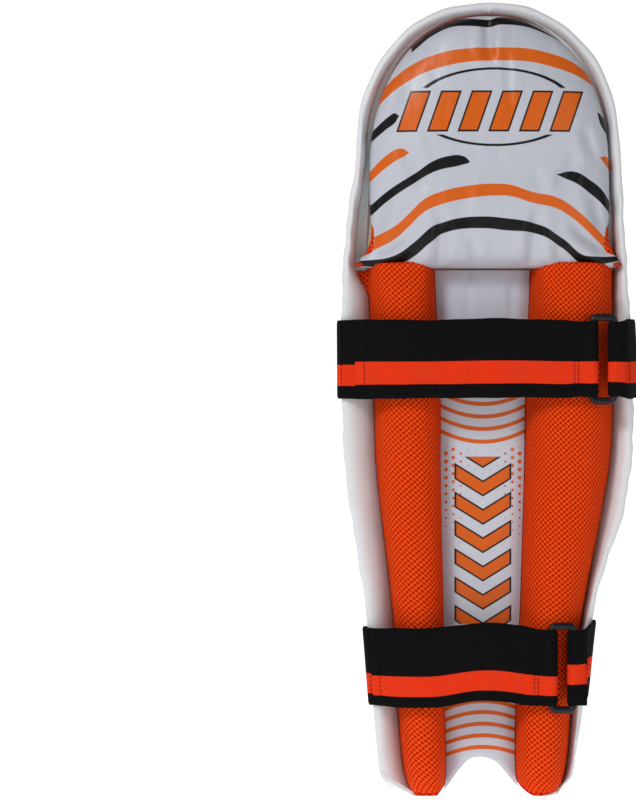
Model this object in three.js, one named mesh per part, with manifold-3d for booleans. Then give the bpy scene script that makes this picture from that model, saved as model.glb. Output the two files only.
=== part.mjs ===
// A batting leg pad: a moulded white shell with foam behind it, a knee cushion and two bolsters on
// the leg side, and two webbing straps that close over the leg through plastic rings.
// Millimetres. +Z runs up the leg, -Y is the struck front and +Y is the leg side. The origin lies
// in the plane of the shell's rim, level with its lowest edge. The strap ends with the rings are at -X.
import * as THREE from 'three';
import { mergeVertices } from 'three/addons/utils/BufferGeometryUtils.js';
import Module from 'manifold-3d';

const wasm = await Module();
wasm.setup();

// Shell: the heights of its zones and its half-widths on either side, as [height, half-width].
const TOP = 560;
const SHIN_TOP = 337.5;
const ROLL_HEIGHT = 32.4;
const ROLLS = 3;
const DOME_BASE = SHIN_TOP + ROLLS * ROLL_HEIGHT;
const ARC_BASE = 450;
const NARROW_EDGE = [[0, 75], [27, 78.5], [55, 81], [139, 88], [167, 92.3], [196, 97.2], [240, 102.5],
  [300, 104], [380, 103], [450, 94.5]];
const WIDE_EDGE = [[0, 58], [27, 60.5], [55, 65.4], [139, 75.3], [167, 83.7], [196, 93.8], [240, 101],
  [300, 101.5], [380, 97], [450, 93]];
const DEPTH = 50;
const DEPTH_BASE = 430;
const WALL = 4.5;
const RIM = 8;
const GAP = 0.3;
// How full the outline's arc, the closing depth at the top and the bow from rim to rim are.
const ARC_POWER = 2.2;
const CLOSING = { power: 2.4, ease: 0.6 };
const BOW = { power: 2.6, ease: 0.75 };
// Farther out than any solid, for the blocks that cut them.
const REACH = 120;

// Front relief: the grooves between the upright flutes of the dome and of the shin, from +X to -X.
const DOME_GROOVES = [70.7, 53.8, 29.9, 5.3, -20, -46.8, -67.2];
const SHIN_GROOVES = [63, 47.5, 29.5, 7.4, -15.1, -36.2, -56.6];
const GROOVE_DEPTH = 2.4;
const GROOVE_SPAN = 0.93;
const ROLL_BULGE = 5;
const ROLL_FULLNESS = 0.8;

// Lower end: the arch over the instep and the rounded lobe on either side of it.
const ARCH = [[-31, 0], [-24, 5.5], [-16, 15.5], [-8, 23.8], [0, 27], [9, 27.6], [16, 25], [24, 17],
  [30, 8.5], [36, 0]];
const LOBE_RISE = 27;
const LOBES = [{ flat: 52, edge: 78.5 }, { flat: -36, edge: -60.5 }];
const END_WALL = 3;

// Layers on the leg side, by their Y.
const LINING_FACE = -14;
const LINING = 1;
const BED = LINING_FACE + LINING + GAP;
const PANEL_FACE = -8.7;
const CUSHION_BASE_Z = 372;
const PANEL_GAP = 1.6;

// Bolsters: the two X edges at each height.
const NARROW_BOLSTER = {
  inner: [[0, 36], [20, 31.5], [65, 31.7], [120, 31], [231, 32.4], [280, 32.4], [371, 36.6]],
  outer: [[0, 50], [20, 60], [65, 64], [120, 67.5], [231, 80.2], [280, 82.3], [371, 86.5]],
};
const WIDE_BOLSTER = {
  inner: [[0, -28], [20, -23], [65, -22.5], [120, -22.5], [231, -23.9], [280, -24.6], [371, -28]],
  outer: [[0, -40], [20, -53], [65, -57.5], [120, -65.5], [231, -86], [280, -89], [371, -89]],
};
const BOLSTER_HEIGHT = 33;
const BOLSTER_FLOOR = 2;
const BOLSTER_TIP = { length: 40, low: 0.45, body: 65 };
const BOLSTER_ROUNDING = 0.9;
const COVER = 2;

// Knee cushion.
const CUSHION_TOP = 551;
const CUSHION_NARROW = [[372, 89.5], [379, 86], [395, 83.5], [440, 83.5]];
const CUSHION_WIDE = [[372, 88], [379, 86.5], [395, 85], [440, 84.5]];
const CUSHION_SIDE = 2;
const CUSHION_CROWN = 24;
const CUSHION_FOOT = 26;
const CUSHION_FOOT_LOW = 0.15;
const CUSHION_BODY = [415, 450];
const CUSHION_DOME_BASE = 440;
const CUSHION_FACE = { power: 3, ease: 0.6 };
const FACE_SPLIT = 0;
const SKIN = 1.6;
const TACK = { xs: [92, -90], radius: 1.5, length: 6, out: 3.2, up: 3 };

// Straps: webbing through a plastic ring, with hook and loop patches under the free end.
const WEBBING = 1.6;
const STRAP_HALF = 27.5;
const LOOP_HALF = 26.2;
const BAR_RADIUS = 2.5;
const BAR_SPACING = 15.4;
const BAR_Y = 25;
const BAR_CLEARANCE = 0.4;
const RING_INNER_HALF = 26.8;
const CAP_RADIUS = 2.4;
const CAP_OVERHANG = 3;
const CAP_SHIFT = 0.6;
const PATCH = 1;
const PATCH_HALF = 24;
const TAB_Y = 22.3;
const STRAP_Y = TAB_Y + WEBBING + 2 * PATCH + 3 * GAP;
const STRAPS = [
  { name: 'upper', z: 308.5, innerBar: -71, slots: [62, -56], tabEnd: 42, strapStart: 0.3 },
  { name: 'lower', z: 93, innerBar: -42.6, slots: [60, -51], tabEnd: 36, strapStart: 0.14 },
];
const SLOT_WIDTH = 7;
const SLOT_MARGIN = 1;
const SEWN_END = 16;
const LIE = 2.2;
const STITCH = 6;
const STRAP_RUN = 40;

const LABEL = { x: [-8, 18], z: [372.5, 394.5], thick: 0.8, sink: 0.5 };

// A smooth curve through points in order of their first value.
function through(points) {
  const last = points.length - 1;
  const slope = (k) => {
    const a = points[Math.max(k - 1, 0)];
    const b = points[Math.min(k + 1, last)];
    return (b[1] - a[1]) / (b[0] - a[0]);
  };
  return (at) => {
    if (at <= points[0][0]) return points[0][1];
    if (at >= points[last][0]) return points[last][1];
    const i = points.findIndex((point) => point[0] > at) - 1;
    const width = points[i + 1][0] - points[i][0];
    const t = (at - points[i][0]) / width;
    const rise = points[i + 1][1] - points[i][1];
    const bend = t * (1 - t) * ((1 - t) * (slope(i) * width - rise) - t * (slope(i + 1) * width - rise));
    return points[i][1] + t * rise + bend;
  };
}

function range(count, from, to) {
  return Array.from({ length: count + 1 }, (_, i) => from + ((to - from) * i) / count);
}

const narrowEdge = through(NARROW_EDGE);
const wideEdge = through(WIDE_EDGE);
const archLine = through(ARCH);

// Half-width of the outline on one side (+1 narrow, -1 wide), drawn in by an inset.
function outline(side, z, inset = 0) {
  const edge = side > 0 ? narrowEdge : wideEdge;
  const rise = Math.max(z - ARC_BASE, 0) / (TOP - inset - ARC_BASE);
  return (edge(z) - inset) * Math.max(1 - rise ** ARC_POWER, 0) ** (1 / ARC_POWER);
}

// Share of the full depth that the shell keeps at a height.
function depth(z, inset = 0) {
  const rise = Math.max(z - DEPTH_BASE, 0) / (TOP - inset - DEPTH_BASE);
  return Math.max(1 - rise ** CLOSING.power, 0) ** CLOSING.ease;
}

// The plain bowed front of the shell, or of the cavity behind it.
function bow(x, z, inset, wall) {
  const t = Math.min(Math.abs(x) / outline(Math.sign(x) || 1, z, inset), 1);
  return -(DEPTH - wall) * depth(z, inset) * (1 - t ** BOW.power) ** BOW.ease;
}

// Front grooves at a height, from +X to -X: shin, a straight change over the knee rolls, and dome.
// Where the outline is narrower than the outermost groove, they all draw in with it.
function grooves(z) {
  const mix = THREE.MathUtils.clamp((z - SHIN_TOP) / (DOME_BASE - SHIN_TOP), 0, 1);
  const lines = SHIN_GROOVES.map((x, i) => THREE.MathUtils.lerp(x, DOME_GROOVES[i], mix));
  const squeeze = (end) => Math.min(1, (GROOVE_SPAN * outline(Math.sign(end), z)) / Math.abs(end));
  return lines.map((x) => x * squeeze(x > 0 ? lines[0] : lines[lines.length - 1]));
}

function shellFront(x, z, isGroove) {
  const t = Math.min(Math.abs(x) / outline(Math.sign(x) || 1, z), 1);
  const fade = 1 - t ** 4;
  const lines = grooves(z);
  const outside = x > lines[0] || x < lines[lines.length - 1];
  let recess = isGroove ? GROOVE_DEPTH : 0;
  if (z < SHIN_TOP && outside) recess = GROOVE_DEPTH;
  if (z > SHIN_TOP && z < DOME_BASE) {
    recess = -ROLL_BULGE * Math.abs(Math.sin((Math.PI * (z - SHIN_TOP)) / ROLL_HEIGHT)) ** ROLL_FULLNESS;
  }
  return bow(x, z, 0, 0) + recess * fade * depth(z);
}

function bottomEdge(x) {
  if (x > ARCH[0][0] && x < ARCH[ARCH.length - 1][0]) return archLine(x);
  const lobe = x > 0 ? LOBES[0] : LOBES[1];
  const t = THREE.MathUtils.clamp((x - lobe.flat) / (lobe.edge - lobe.flat), 0, 1);
  return LOBE_RISE * (1 - Math.sqrt(1 - t * t));
}

// A closed solid through level rings of [x, y] points, each ring anticlockwise seen from above.
function loft(sections) {
  const count = sections[0].ring.length;
  const area = THREE.ShapeUtils.area(sections[0].ring.map(([x, y]) => new THREE.Vector2(x, y)));
  const rings = sections.map(({ ring }) => (area < 0 ? [...ring].reverse() : ring));
  const positions = rings.flatMap((ring, k) => ring.flatMap(([x, y]) => [x, y, sections[k].z]));
  const index = [];
  for (let k = 0; k + 1 < rings.length; k += 1) {
    for (let i = 0; i < count; i += 1) {
      const next = (i + 1) % count;
      const low = k * count;
      const high = low + count;
      index.push(low + i, low + next, high + next, low + i, high + next, high + i);
    }
  }
  const flat = (k) => rings[k].map(([x, y]) => new THREE.Vector2(x, y));
  const cap = (k) => THREE.ShapeUtils.triangulateShape(flat(k), []);
  const top = (rings.length - 1) * count;
  cap(0).forEach(([a, b, c]) => index.push(a, c, b));
  cap(rings.length - 1).forEach(([a, b, c]) => index.push(top + a, top + b, top + c));
  const geometry = new THREE.BufferGeometry();
  geometry.setAttribute('position', new THREE.Float32BufferAttribute(positions, 3));
  geometry.setIndex(index);
  return solid(geometry);
}

function solid(geometry) {
  const bare = geometry.index ? geometry.toNonIndexed() : geometry.clone();
  bare.deleteAttribute('normal');
  bare.deleteAttribute('uv');
  const merged = mergeVertices(bare, 1e-4);
  return new wasm.Manifold(new wasm.Mesh({
    numProp: 3,
    vertProperties: new Float32Array(merged.attributes.position.array),
    triVerts: new Uint32Array(merged.index.array),
  }));
}

function block(x, y, z) {
  const box = new THREE.BoxGeometry(x[1] - x[0], y[1] - y[0], z[1] - z[0]);
  return solid(box.translate((x[0] + x[1]) / 2, (y[0] + y[1]) / 2, (z[0] + z[1]) / 2));
}

function named(name, shape, material) {
  const made = shape.getMesh();
  const geometry = new THREE.BufferGeometry();
  geometry.setAttribute('position', new THREE.BufferAttribute(made.vertProperties, 3));
  geometry.setIndex(new THREE.BufferAttribute(made.triVerts, 1));
  const mesh = new THREE.Mesh(geometry, material);
  mesh.name = name;
  return mesh;
}

function finish(color, roughness) {
  return new THREE.MeshStandardMaterial({ color, roughness, metalness: 0 });
}

const white = finish(0xe4e4ea, 0.55);
const printed = finish(0xdcdce4, 0.3);
const mesh = finish(0xd8420f, 0.9);
const foam = finish(0xeae6c8, 0.95);
const webbing = finish(0x121213, 0.85);
const plastic = finish(0x1c1c20, 0.4);
const hook = finish(0x0c0c0c, 0.95);
const red = finish(0xc8141f, 0.5);

// Heights at which the shell's sections are cut: shin, knee rolls and dome.
function shellHeights(top, shinSteps, rollSteps, domeSteps) {
  const shin = range(shinSteps, 0, SHIN_TOP - 1);
  const rolls = range(ROLLS * rollSteps, SHIN_TOP, DOME_BASE);
  const start = DOME_BASE + 1;
  const dome = range(domeSteps, 0, Math.PI / 2).map((angle) => start + (top - start) * Math.sin(angle));
  return [...shin, ...rolls, ...dome];
}

const WING_STEPS = [0, 0.04, 0.16, 0.4, 0.75];

function shellRing(z) {
  const lines = grooves(z);
  const wing = (side, line) => {
    const edge = side * outline(side, z);
    return WING_STEPS.map((step) => [THREE.MathUtils.lerp(edge, line, step), false]);
  };
  const flutes = lines.slice(1).flatMap((x, i) => [[(x + lines[i]) / 2, false], [x, true]]);
  const last = lines[lines.length - 1];
  const columns = [...wing(1, lines[0]), [lines[0], true], ...flutes, ...wing(-1, last).reverse()];
  return columns.map(([x, isGroove]) => [x, shellFront(x, z, isGroove)]);
}

// A plain bowed solid reaching from the front curve back to a plane.
function bowed(inset, wall, back) {
  const across = range(14, -1, 1).map((step) => Math.sin((Math.PI / 2) * step));
  const sections = shellHeights(TOP - inset - 0.4, 7, 1, 8).map((z) => {
    const width = (step) => step * outline(Math.sign(step) || 1, z, inset);
    const front = across.map((step) => [width(step), bow(width(step), z, inset, wall)]);
    return { z, ring: [...front, [width(1), back], [width(-1), back]] };
  });
  sections[0].z = -10;
  return loft(sections);
}

// Everything below the lower edge, raised by a height.
function belowEdge(raise) {
  const curve = range(36, LOBES[0].edge, LOBES[1].edge).map((x) => [x, bottomEdge(x) + raise]);
  const side = LOBE_RISE + raise;
  const corners = [[REACH, -REACH], [REACH, side], ...curve, [-REACH, side], [-REACH, -REACH]];
  const shape = new THREE.Shape(corners.map(([x, z]) => new THREE.Vector2(x, z)));
  const prism = new THREE.ExtrudeGeometry(shape, { depth: 2 * REACH, bevelEnabled: false, steps: 1 });
  return solid(prism.rotateX(Math.PI / 2).translate(0, REACH, 0));
}

// The part of a solid that lies between two depths and two heights.
function between(part, ys, zs) {
  return part.intersect(block([-REACH, REACH], ys, zs));
}

const outer = loft(shellHeights(TOP - 0.4, 13, 6, 9).map((z) => ({ z, ring: shellRing(z) })));
const below = belowEdge(0);
const front = (part) => between(part, [-REACH, LINING_FACE], [-REACH, TOP]);
const behind = (part, face) => between(part, [face, REACH], [-REACH, TOP]);
const cavity = bowed(RIM, WALL, REACH);
const cavityFit = bowed(RIM + GAP, WALL + GAP, REACH);
const hollow = front(cavity).subtract(belowEdge(END_WALL)).add(behind(cavity, LINING_FACE - 0.01));

// Offset of a centre line to both sides, as one closed ring.
function ribbon(line, thickness) {
  const side = (sign) => line.map(([x, y], i) => {
    const [ax, ay] = line[Math.max(i - 1, 0)];
    const [bx, by] = line[Math.min(i + 1, line.length - 1)];
    const length = Math.hypot(bx - ax, by - ay);
    const reach = (sign * thickness) / 2 / length;
    return [x - (by - ay) * reach, y + (bx - ax) * reach];
  });
  return [...side(1), ...side(-1).reverse()];
}

function band(lineAt, centre, half, thickness) {
  const heights = range(3, centre - half, centre + half);
  return loft(heights.map((z) => ({ z, ring: ribbon(lineAt(z), thickness) })));
}

// Points along a quadratic curve, at the given parameters.
function bend(a, b, c, steps) {
  return steps.map((t) => [0, 1].map((k) => (1 - t) ** 2 * a[k] + 2 * t * (1 - t) * b[k] + t ** 2 * c[k]));
}

// Webbing that comes out of a slot in the shell and lies round the wing as far as its rim.
function wingLine(side, slot, z) {
  const edge = side * outline(side, z);
  const lie = (x) => [x, bow(x, z, 0, 0) - LIE * Math.min(Math.abs(x / edge), 1) ** 2];
  const inside = (x) => [x, bow(x, z, RIM, WALL) + LIE];
  const first = slot + side * 6;
  const last = edge - side * 2;
  const ease = (t) => Math.sin((Math.PI / 2) * t);
  const along = range(4, 0, 1).map((t) => lie(THREE.MathUtils.lerp(first, last, ease(t))));
  return [inside(slot - side * 12), inside(slot - side * 2.6), lie(slot + side * 1.2), ...along,
    [edge + side * LIE, -4], [edge + side * LIE, -1]];
}

function shoulder(edge, strap) {
  return [[edge + LIE, 2], [edge - 20, TAB_Y + 1], [strap.tabEnd + 8, TAB_Y]];
}

function tabLine(strap, side) {
  return (z) => {
    const edge = side * outline(side, z);
    const wing = wingLine(side, strap.slots[side > 0 ? 0 : 1], z);
    if (side > 0) {
      return [...wing, ...bend(...shoulder(edge, strap), range(6, 0, 1)), [strap.tabEnd, TAB_Y]];
    }
    const bar = strap.innerBar - BAR_SPACING;
    const knee = [[edge - LIE, 2], [edge + 6, BAR_Y - 5], [bar - BAR_RADIUS - 2, BAR_Y]];
    return [...wing, ...bend(...knee, range(4, 0, 1))];
  };
}

// The free strap and its patches follow the tab that they close on, raised square to it by a lift.
function overTab(strap, lift, from) {
  return (z) => {
    const steps = [from - 0.01, ...range(6, from, 1), 1.01];
    const path = bend(...shoulder(outline(1, z), strap), steps);
    const raised = path.slice(1, -1).map(([x, y], i) => {
      const run = [path[i + 2][0] - path[i][0], path[i + 2][1] - path[i][1]];
      const reach = lift / Math.hypot(...run);
      return [x + run[1] * reach, y - run[0] * reach];
    });
    return [...raised, [strap.tabEnd + 2, TAB_Y + lift]];
  };
}

function webbingLoop(x, z) {
  const shape = new THREE.Shape();
  shape.absarc(x, BAR_Y, BAR_RADIUS + BAR_CLEARANCE + WEBBING, 0, 2 * Math.PI, false);
  const settings = { depth: 2 * LOOP_HALF, bevelEnabled: false, curveSegments: 7 };
  const loop = new THREE.ExtrudeGeometry(shape, settings);
  return solid(loop.translate(0, 0, z - LOOP_HALF));
}

function rod(x, z, radius, half, segments) {
  const bar = new THREE.CylinderGeometry(radius, radius, 2 * half, segments);
  return solid(bar.rotateX(Math.PI / 2).translate(x, BAR_Y, z));
}

function barBore(x, z) {
  return rod(x, z, BAR_RADIUS + BAR_CLEARANCE, STRAP_HALF + 5, 14);
}

function strapSet(strap) {
  const { name, z, innerBar } = strap;
  const outerBar = innerBar - BAR_SPACING;
  const clear = (part, bar) => part.subtract(barBore(bar, z));
  const doubled = (xs) => block(xs, [BAR_Y - WEBBING, BAR_Y + WEBBING], [z - LOOP_HALF, z + LOOP_HALF]);

  const tabNarrow = band(tabLine(strap, 1), z, STRAP_HALF, WEBBING);
  const pastBar = block([outerBar - STITCH, 0], [BAR_Y - 10, REACH], [z - 50, z + 50]);
  const tabWide = band(tabLine(strap, -1), z, STRAP_HALF, WEBBING)
    .subtract(pastBar)
    .add(doubled([outerBar - STITCH - 3, outerBar]))
    .add(webbingLoop(outerBar, z));

  const capCentre = RING_INNER_HALF + CAP_RADIUS;
  const cap = new THREE.CapsuleGeometry(CAP_RADIUS, BAR_SPACING + CAP_OVERHANG, 2, 10).rotateZ(Math.PI / 2);
  const middle = (innerBar + outerBar) / 2 + CAP_SHIFT;
  const caps = [-1, 1].map((end) => solid(cap.clone().translate(middle, BAR_Y, z + end * capCentre)));
  const bars = [innerBar, outerBar].map((x) => rod(x, z, BAR_RADIUS, capCentre, 12));
  const ring = bars[0].add(bars[1]).add(caps[0]).add(caps[1]);

  const free = (height) => {
    const tail = overTab(strap, STRAP_Y - TAB_Y, strap.strapStart)(height);
    return [...tail, [innerBar + STRAP_RUN, STRAP_Y], [innerBar + STITCH, BAR_Y]];
  };
  const long = band(free, z, STRAP_HALF, WEBBING)
    .add(doubled([innerBar, innerBar + STITCH + 1]))
    .add(webbingLoop(innerBar, z));

  const patchStart = strap.strapStart + 0.05;
  const patchLift = (WEBBING + PATCH) / 2 + GAP;
  const loopPatch = band(overTab(strap, patchLift, patchStart), z, PATCH_HALF, PATCH);
  const hookPatch = band(overTab(strap, patchLift + PATCH + GAP, patchStart), z, PATCH_HALF, PATCH);

  return {
    name,
    tabNarrow,
    tabWide: clear(tabWide, outerBar),
    ring,
    long: clear(long, innerBar),
    loopPatch,
    hookPatch,
  };
}

const sets = STRAPS.map(strapSet);

// Slots in the shell, and pockets in the foam behind them for the sewn ends of the webbing.
function slotHeights(strap) {
  return [strap.z - STRAP_HALF - SLOT_MARGIN, strap.z + STRAP_HALF + SLOT_MARGIN];
}

function slotCut(strap, side) {
  const x = strap.slots[side > 0 ? 0 : 1];
  const half = SLOT_WIDTH / 2;
  return block([x - half, x + half], [-REACH, -5], slotHeights(strap));
}

function pocketCut(strap, side) {
  const slot = strap.slots[side > 0 ? 0 : 1];
  const far = slot + side * 5;
  const xs = [slot - side * SEWN_END, far].sort((a, b) => a - b);
  return block(xs, [-REACH, bow(far, strap.z, RIM, WALL) + 6], slotHeights(strap));
}

const slots = STRAPS.flatMap((strap) => [slotCut(strap, 1), slotCut(strap, -1)]);
const pockets = STRAPS.flatMap((strap) => [pocketCut(strap, 1), pocketCut(strap, -1)]);
const cutAll = (part, cuts) => cuts.reduce((left, cut) => left.subtract(cut), part);

const shell = cutAll(outer.subtract(hollow).subtract(below), slots);
const foamBlank = front(cavityFit).subtract(belowEdge(END_WALL + GAP));
const core = (from, to) => between(foamBlank, [-REACH, LINING_FACE - GAP], [from, to]);
const shinCore = cutAll(core(0, SHIN_TOP - GAP), pockets);
const kneeCore = core(SHIN_TOP, DOME_BASE - GAP);
const domeCore = core(DOME_BASE, TOP);
const lining = between(cavityFit, [LINING_FACE, LINING_FACE + LINING], [-5, CUSHION_BASE_Z]).subtract(below);

// A bolster's section: flat on its bed and rounded over, between two edges.
function bolster(shape, inset) {
  const inner = through(shape.inner);
  const outerEdge = through(shape.outer);
  const low = BOLSTER_FLOOR + inset;
  const tips = range(4, 0, Math.PI / 2).map((angle) => low + BOLSTER_TIP.length * (1 - Math.cos(angle)));
  const heights = [...tips, ...range(6, BOLSTER_TIP.body, CUSHION_BASE_Z - GAP - inset)];
  const rounded = (value) => Math.sign(value) * Math.abs(value) ** BOLSTER_ROUNDING;
  return loft(heights.map((z) => {
    const centre = (inner(z) + outerEdge(z)) / 2;
    const half = Math.abs(outerEdge(z) - inner(z)) / 2 - inset;
    const tip = Math.sqrt(1 - (1 - Math.min((z - low) / BOLSTER_TIP.length, 1)) ** 2);
    const rise = (BOLSTER_HEIGHT - inset) * THREE.MathUtils.lerp(BOLSTER_TIP.low, 1, tip);
    const ring = range(8, 0, Math.PI).map((angle) => [
      centre + half * rounded(Math.cos(angle)),
      BED + rise * rounded(Math.sin(angle)),
    ]);
    return { z, ring };
  }));
}

// A bolster kept inside the shell's cavity and above its lower edge.
function bolsterWithin(shape, inset, margin, raise) {
  return bolster(shape, inset).intersect(bowed(RIM + margin, WALL, REACH)).subtract(belowEdge(raise));
}

function bolsterPair(shape) {
  const whole = bolster(shape, 0).intersect(cavityFit).subtract(belowEdge(0.5));
  const room = bolsterWithin(shape, COVER, COVER, COVER + 0.7);
  const filling = bolsterWithin(shape, COVER + GAP, COVER + GAP, COVER + 1);
  return { cover: whole.subtract(room), filling };
}

const narrowBolster = bolsterPair(NARROW_BOLSTER);
const wideBolster = bolsterPair(WIDE_BOLSTER);
const panelRing = (z) => {
  const left = through(WIDE_BOLSTER.inner)(z) + PANEL_GAP;
  const right = through(NARROW_BOLSTER.inner)(z) - PANEL_GAP;
  return [[left, BED], [right, BED], [right, PANEL_FACE], [left, PANEL_FACE]];
};
const panelHeights = range(12, 0, CUSHION_BASE_Z - GAP);
const centrePanel = loft(panelHeights.map((z) => ({ z, ring: panelRing(z) }))).subtract(below);

// The knee cushion bulges from its bed to a crowned face that turns under at its lower edge.
function cushion(inset) {
  const narrow = through(CUSHION_NARROW);
  const wide = through(CUSHION_WIDE);
  const low = CUSHION_BASE_Z + inset;
  const high = CUSHION_TOP - inset;
  const feet = range(4, 0, Math.PI / 2).map((angle) => low + CUSHION_FOOT * (1 - Math.cos(angle)));
  const start = CUSHION_BODY[1] + 2;
  const crown = range(6, 0.12, Math.PI / 2).map((angle) => start + (high - start - 0.2) * Math.sin(angle));
  const heights = [...feet, ...range(2, ...CUSHION_BODY), ...crown];
  const steps = range(10, 1, -1).map((step) => Math.sin((Math.PI / 2) * step));
  return loft(heights.map((z) => {
    const climb = Math.max(z - CUSHION_DOME_BASE, 0) / (high - CUSHION_DOME_BASE);
    const dome = Math.max(1 - climb ** ARC_POWER, 0) ** (1 / ARC_POWER);
    const foot = Math.sqrt(1 - (1 - Math.min((z - low) / CUSHION_FOOT, 1)) ** 2);
    const full = Math.max(dome, 0.02) ** 0.7 * THREE.MathUtils.lerp(CUSHION_FOOT_LOW, 1, foot);
    const rise = (CUSHION_CROWN - inset) * full;
    const half = (step) => step * dome * ((step > 0 ? narrow(z) : wide(z)) - inset);
    const bulge = (step) => rise * (1 - Math.abs(step) ** CUSHION_FACE.power) ** CUSHION_FACE.ease;
    const face = steps.map((step) => [half(step), CUSHION_SIDE + bulge(step)]);
    return { z, ring: [[half(-1), BED], [half(1), BED], ...face] };
  }));
}

const cushionWithin = (inset, margin) => cushion(inset).intersect(bowed(RIM + margin, WALL, REACH));
const cushionWhole = cushion(0).intersect(cavityFit);
const cushionFoam = cushionWithin(SKIN + GAP, SKIN + 2 * GAP);
const cushionSkin = cushionWhole.subtract(cushionWithin(SKIN, SKIN + GAP));
const cushionFace = behind(cushionSkin, FACE_SPLIT);
const cushionGusset = between(cushionSkin, [-REACH, FACE_SPLIT - GAP], [0, TOP]);

// The label follows the roll that it is bonded to.
const labelLine = (z) => {
  const lift = LABEL.sink + LABEL.thick / 2;
  return range(3, ...LABEL.x).map((x) => [x, shellFront(x, z, false) - lift]);
};
const label = loft(range(4, ...LABEL.z).map((z) => ({ z, ring: ribbon(labelLine(z), LABEL.thick) })));

// A bead of thread that holds a lower corner of the cushion.
function tack(x) {
  const bead = new THREE.CapsuleGeometry(TACK.radius, TACK.length, 3, 8).rotateZ(Math.PI / 2);
  return solid(bead.translate(x, CUSHION_SIDE + TACK.out, CUSHION_BASE_Z + TACK.up));
}

const pad = new THREE.Group();
pad.add(named('front_shell', shell, white));
pad.add(named('shin_core', shinCore, foam));
pad.add(named('knee_core', kneeCore, foam));
pad.add(named('dome_core', domeCore, foam));
pad.add(named('back_lining', lining, mesh));
pad.add(named('centre_panel', centrePanel, printed));
pad.add(named('bolster_cover_narrow', narrowBolster.cover, mesh));
pad.add(named('bolster_foam_narrow', narrowBolster.filling, foam));
pad.add(named('bolster_cover_wide', wideBolster.cover, mesh));
pad.add(named('bolster_foam_wide', wideBolster.filling, foam));
pad.add(named('knee_cushion_face', cushionFace, printed));
pad.add(named('knee_cushion_gusset', cushionGusset, mesh));
pad.add(named('knee_cushion_foam', cushionFoam, foam));
pad.add(named('size_label', label, red));
pad.add(named('corner_tack_narrow', tack(TACK.xs[0]), mesh));
pad.add(named('corner_tack_wide', tack(TACK.xs[1]), mesh));
for (const set of sets) {
  pad.add(named(`${set.name}_tab_narrow`, set.tabNarrow, webbing));
  pad.add(named(`${set.name}_tab_wide`, set.tabWide, webbing));
  pad.add(named(`${set.name}_strap`, set.long, webbing));
  pad.add(named(`${set.name}_ring`, set.ring, plastic));
  pad.add(named(`${set.name}_loop_patch`, set.loopPatch, hook));
  pad.add(named(`${set.name}_hook_patch`, set.hookPatch, hook));
}

export default pad;
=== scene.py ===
"""Looks of a batting leg pad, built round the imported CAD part.

Sizes are in millimetres until a mesh is made. +Z runs up the leg, -Y is the struck front and +Y
the leg side, and the strap ends with the rings are at -X.
"""
import math
from collections import namedtuple

import bmesh
import bpy
import numpy as np
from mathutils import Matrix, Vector


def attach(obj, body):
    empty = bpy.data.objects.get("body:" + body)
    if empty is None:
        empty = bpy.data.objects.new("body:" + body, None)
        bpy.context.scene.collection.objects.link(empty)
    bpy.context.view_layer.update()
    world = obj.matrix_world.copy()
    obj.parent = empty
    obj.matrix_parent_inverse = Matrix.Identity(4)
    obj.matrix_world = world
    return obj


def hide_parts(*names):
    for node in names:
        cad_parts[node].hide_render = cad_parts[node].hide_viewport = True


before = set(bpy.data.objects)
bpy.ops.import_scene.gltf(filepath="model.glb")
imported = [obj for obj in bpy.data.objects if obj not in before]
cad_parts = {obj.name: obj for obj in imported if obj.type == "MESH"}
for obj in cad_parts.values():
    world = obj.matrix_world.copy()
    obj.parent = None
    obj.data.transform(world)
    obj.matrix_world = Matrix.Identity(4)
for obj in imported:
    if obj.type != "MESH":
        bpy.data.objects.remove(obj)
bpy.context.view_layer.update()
MM = 0.001

# Shell: the heights of its zones, and its half-widths on either side as [height, half-width].
TOP, SHIN_TOP, DOME_BASE, ARC_BASE, ROLL = 560.0, 337.5, 434.7, 450.0, 32.4
NARROW_EDGE = [[0, 75], [27, 78.5], [55, 81], [139, 88], [167, 92.3], [196, 97.2], [240, 102.5],
               [300, 104], [380, 103], [450, 94.5]]
WIDE_EDGE = [[0, 58], [27, 60.5], [55, 65.4], [139, 75.3], [167, 83.7], [196, 93.8], [240, 101],
             [300, 101.5], [380, 97], [450, 93]]
DEPTH, DEPTH_BASE, WALL, RIM, GAP = 50.0, 430.0, 4.5, 8.0, 0.3
# How full the outline's arc, the closing depth at the top and the bow from rim to rim are.
ARC_POWER = 2.2
CLOSING_POWER, CLOSING_EASE = 2.4, 0.6
BOW_POWER, BOW_EASE = 2.6, 0.75

# Front relief: the grooves between the upright flutes of the dome and of the shin, from +X to -X.
# Those marked 1 are short and end above the instep.
DOME_GROOVES = np.array([70.7, 53.8, 29.9, 5.3, -20, -46.8, -67.2])
SHIN_GROOVES = np.array([63, 47.5, 29.5, 7.4, -15.1, -36.2, -56.6])
SHORT_GROOVES = np.array([0, 0, 1, 1, 1, 0, 0])
SHORT_END = 111.0
GROOVE_DEPTH, GROOVE_SPAN, LEAST_SPACING = 2.4, 0.93, 6.0
FLUTE_DEPTH, FLUTE_SHARE, FLUTE_POWER = 3.3, 0.36, 1.9
CUSP_DEPTH, CUSP_HALF, CUSP_RISE, CUSP_HEIGHT = 2.2, 4.5, 3.0, 3.5
ROLL_BULGE, ROLL_FULLNESS = 5.0, 0.62

# Lower end: the arch over the instep, and the rounded lobe on either side of it as (flat, edge).
ARCH = [[-31, 0], [-24, 5.5], [-16, 15.5], [-8, 23.8], [0, 27], [9, 27.6], [16, 25], [24, 17],
        [30, 8.5], [36, 0]]
LOBE_RISE = 27.0
LOBES = [(52.0, 78.5), (-36.0, -60.5)]
END_WALL, END_REACH = 3.0, 60.0

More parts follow.
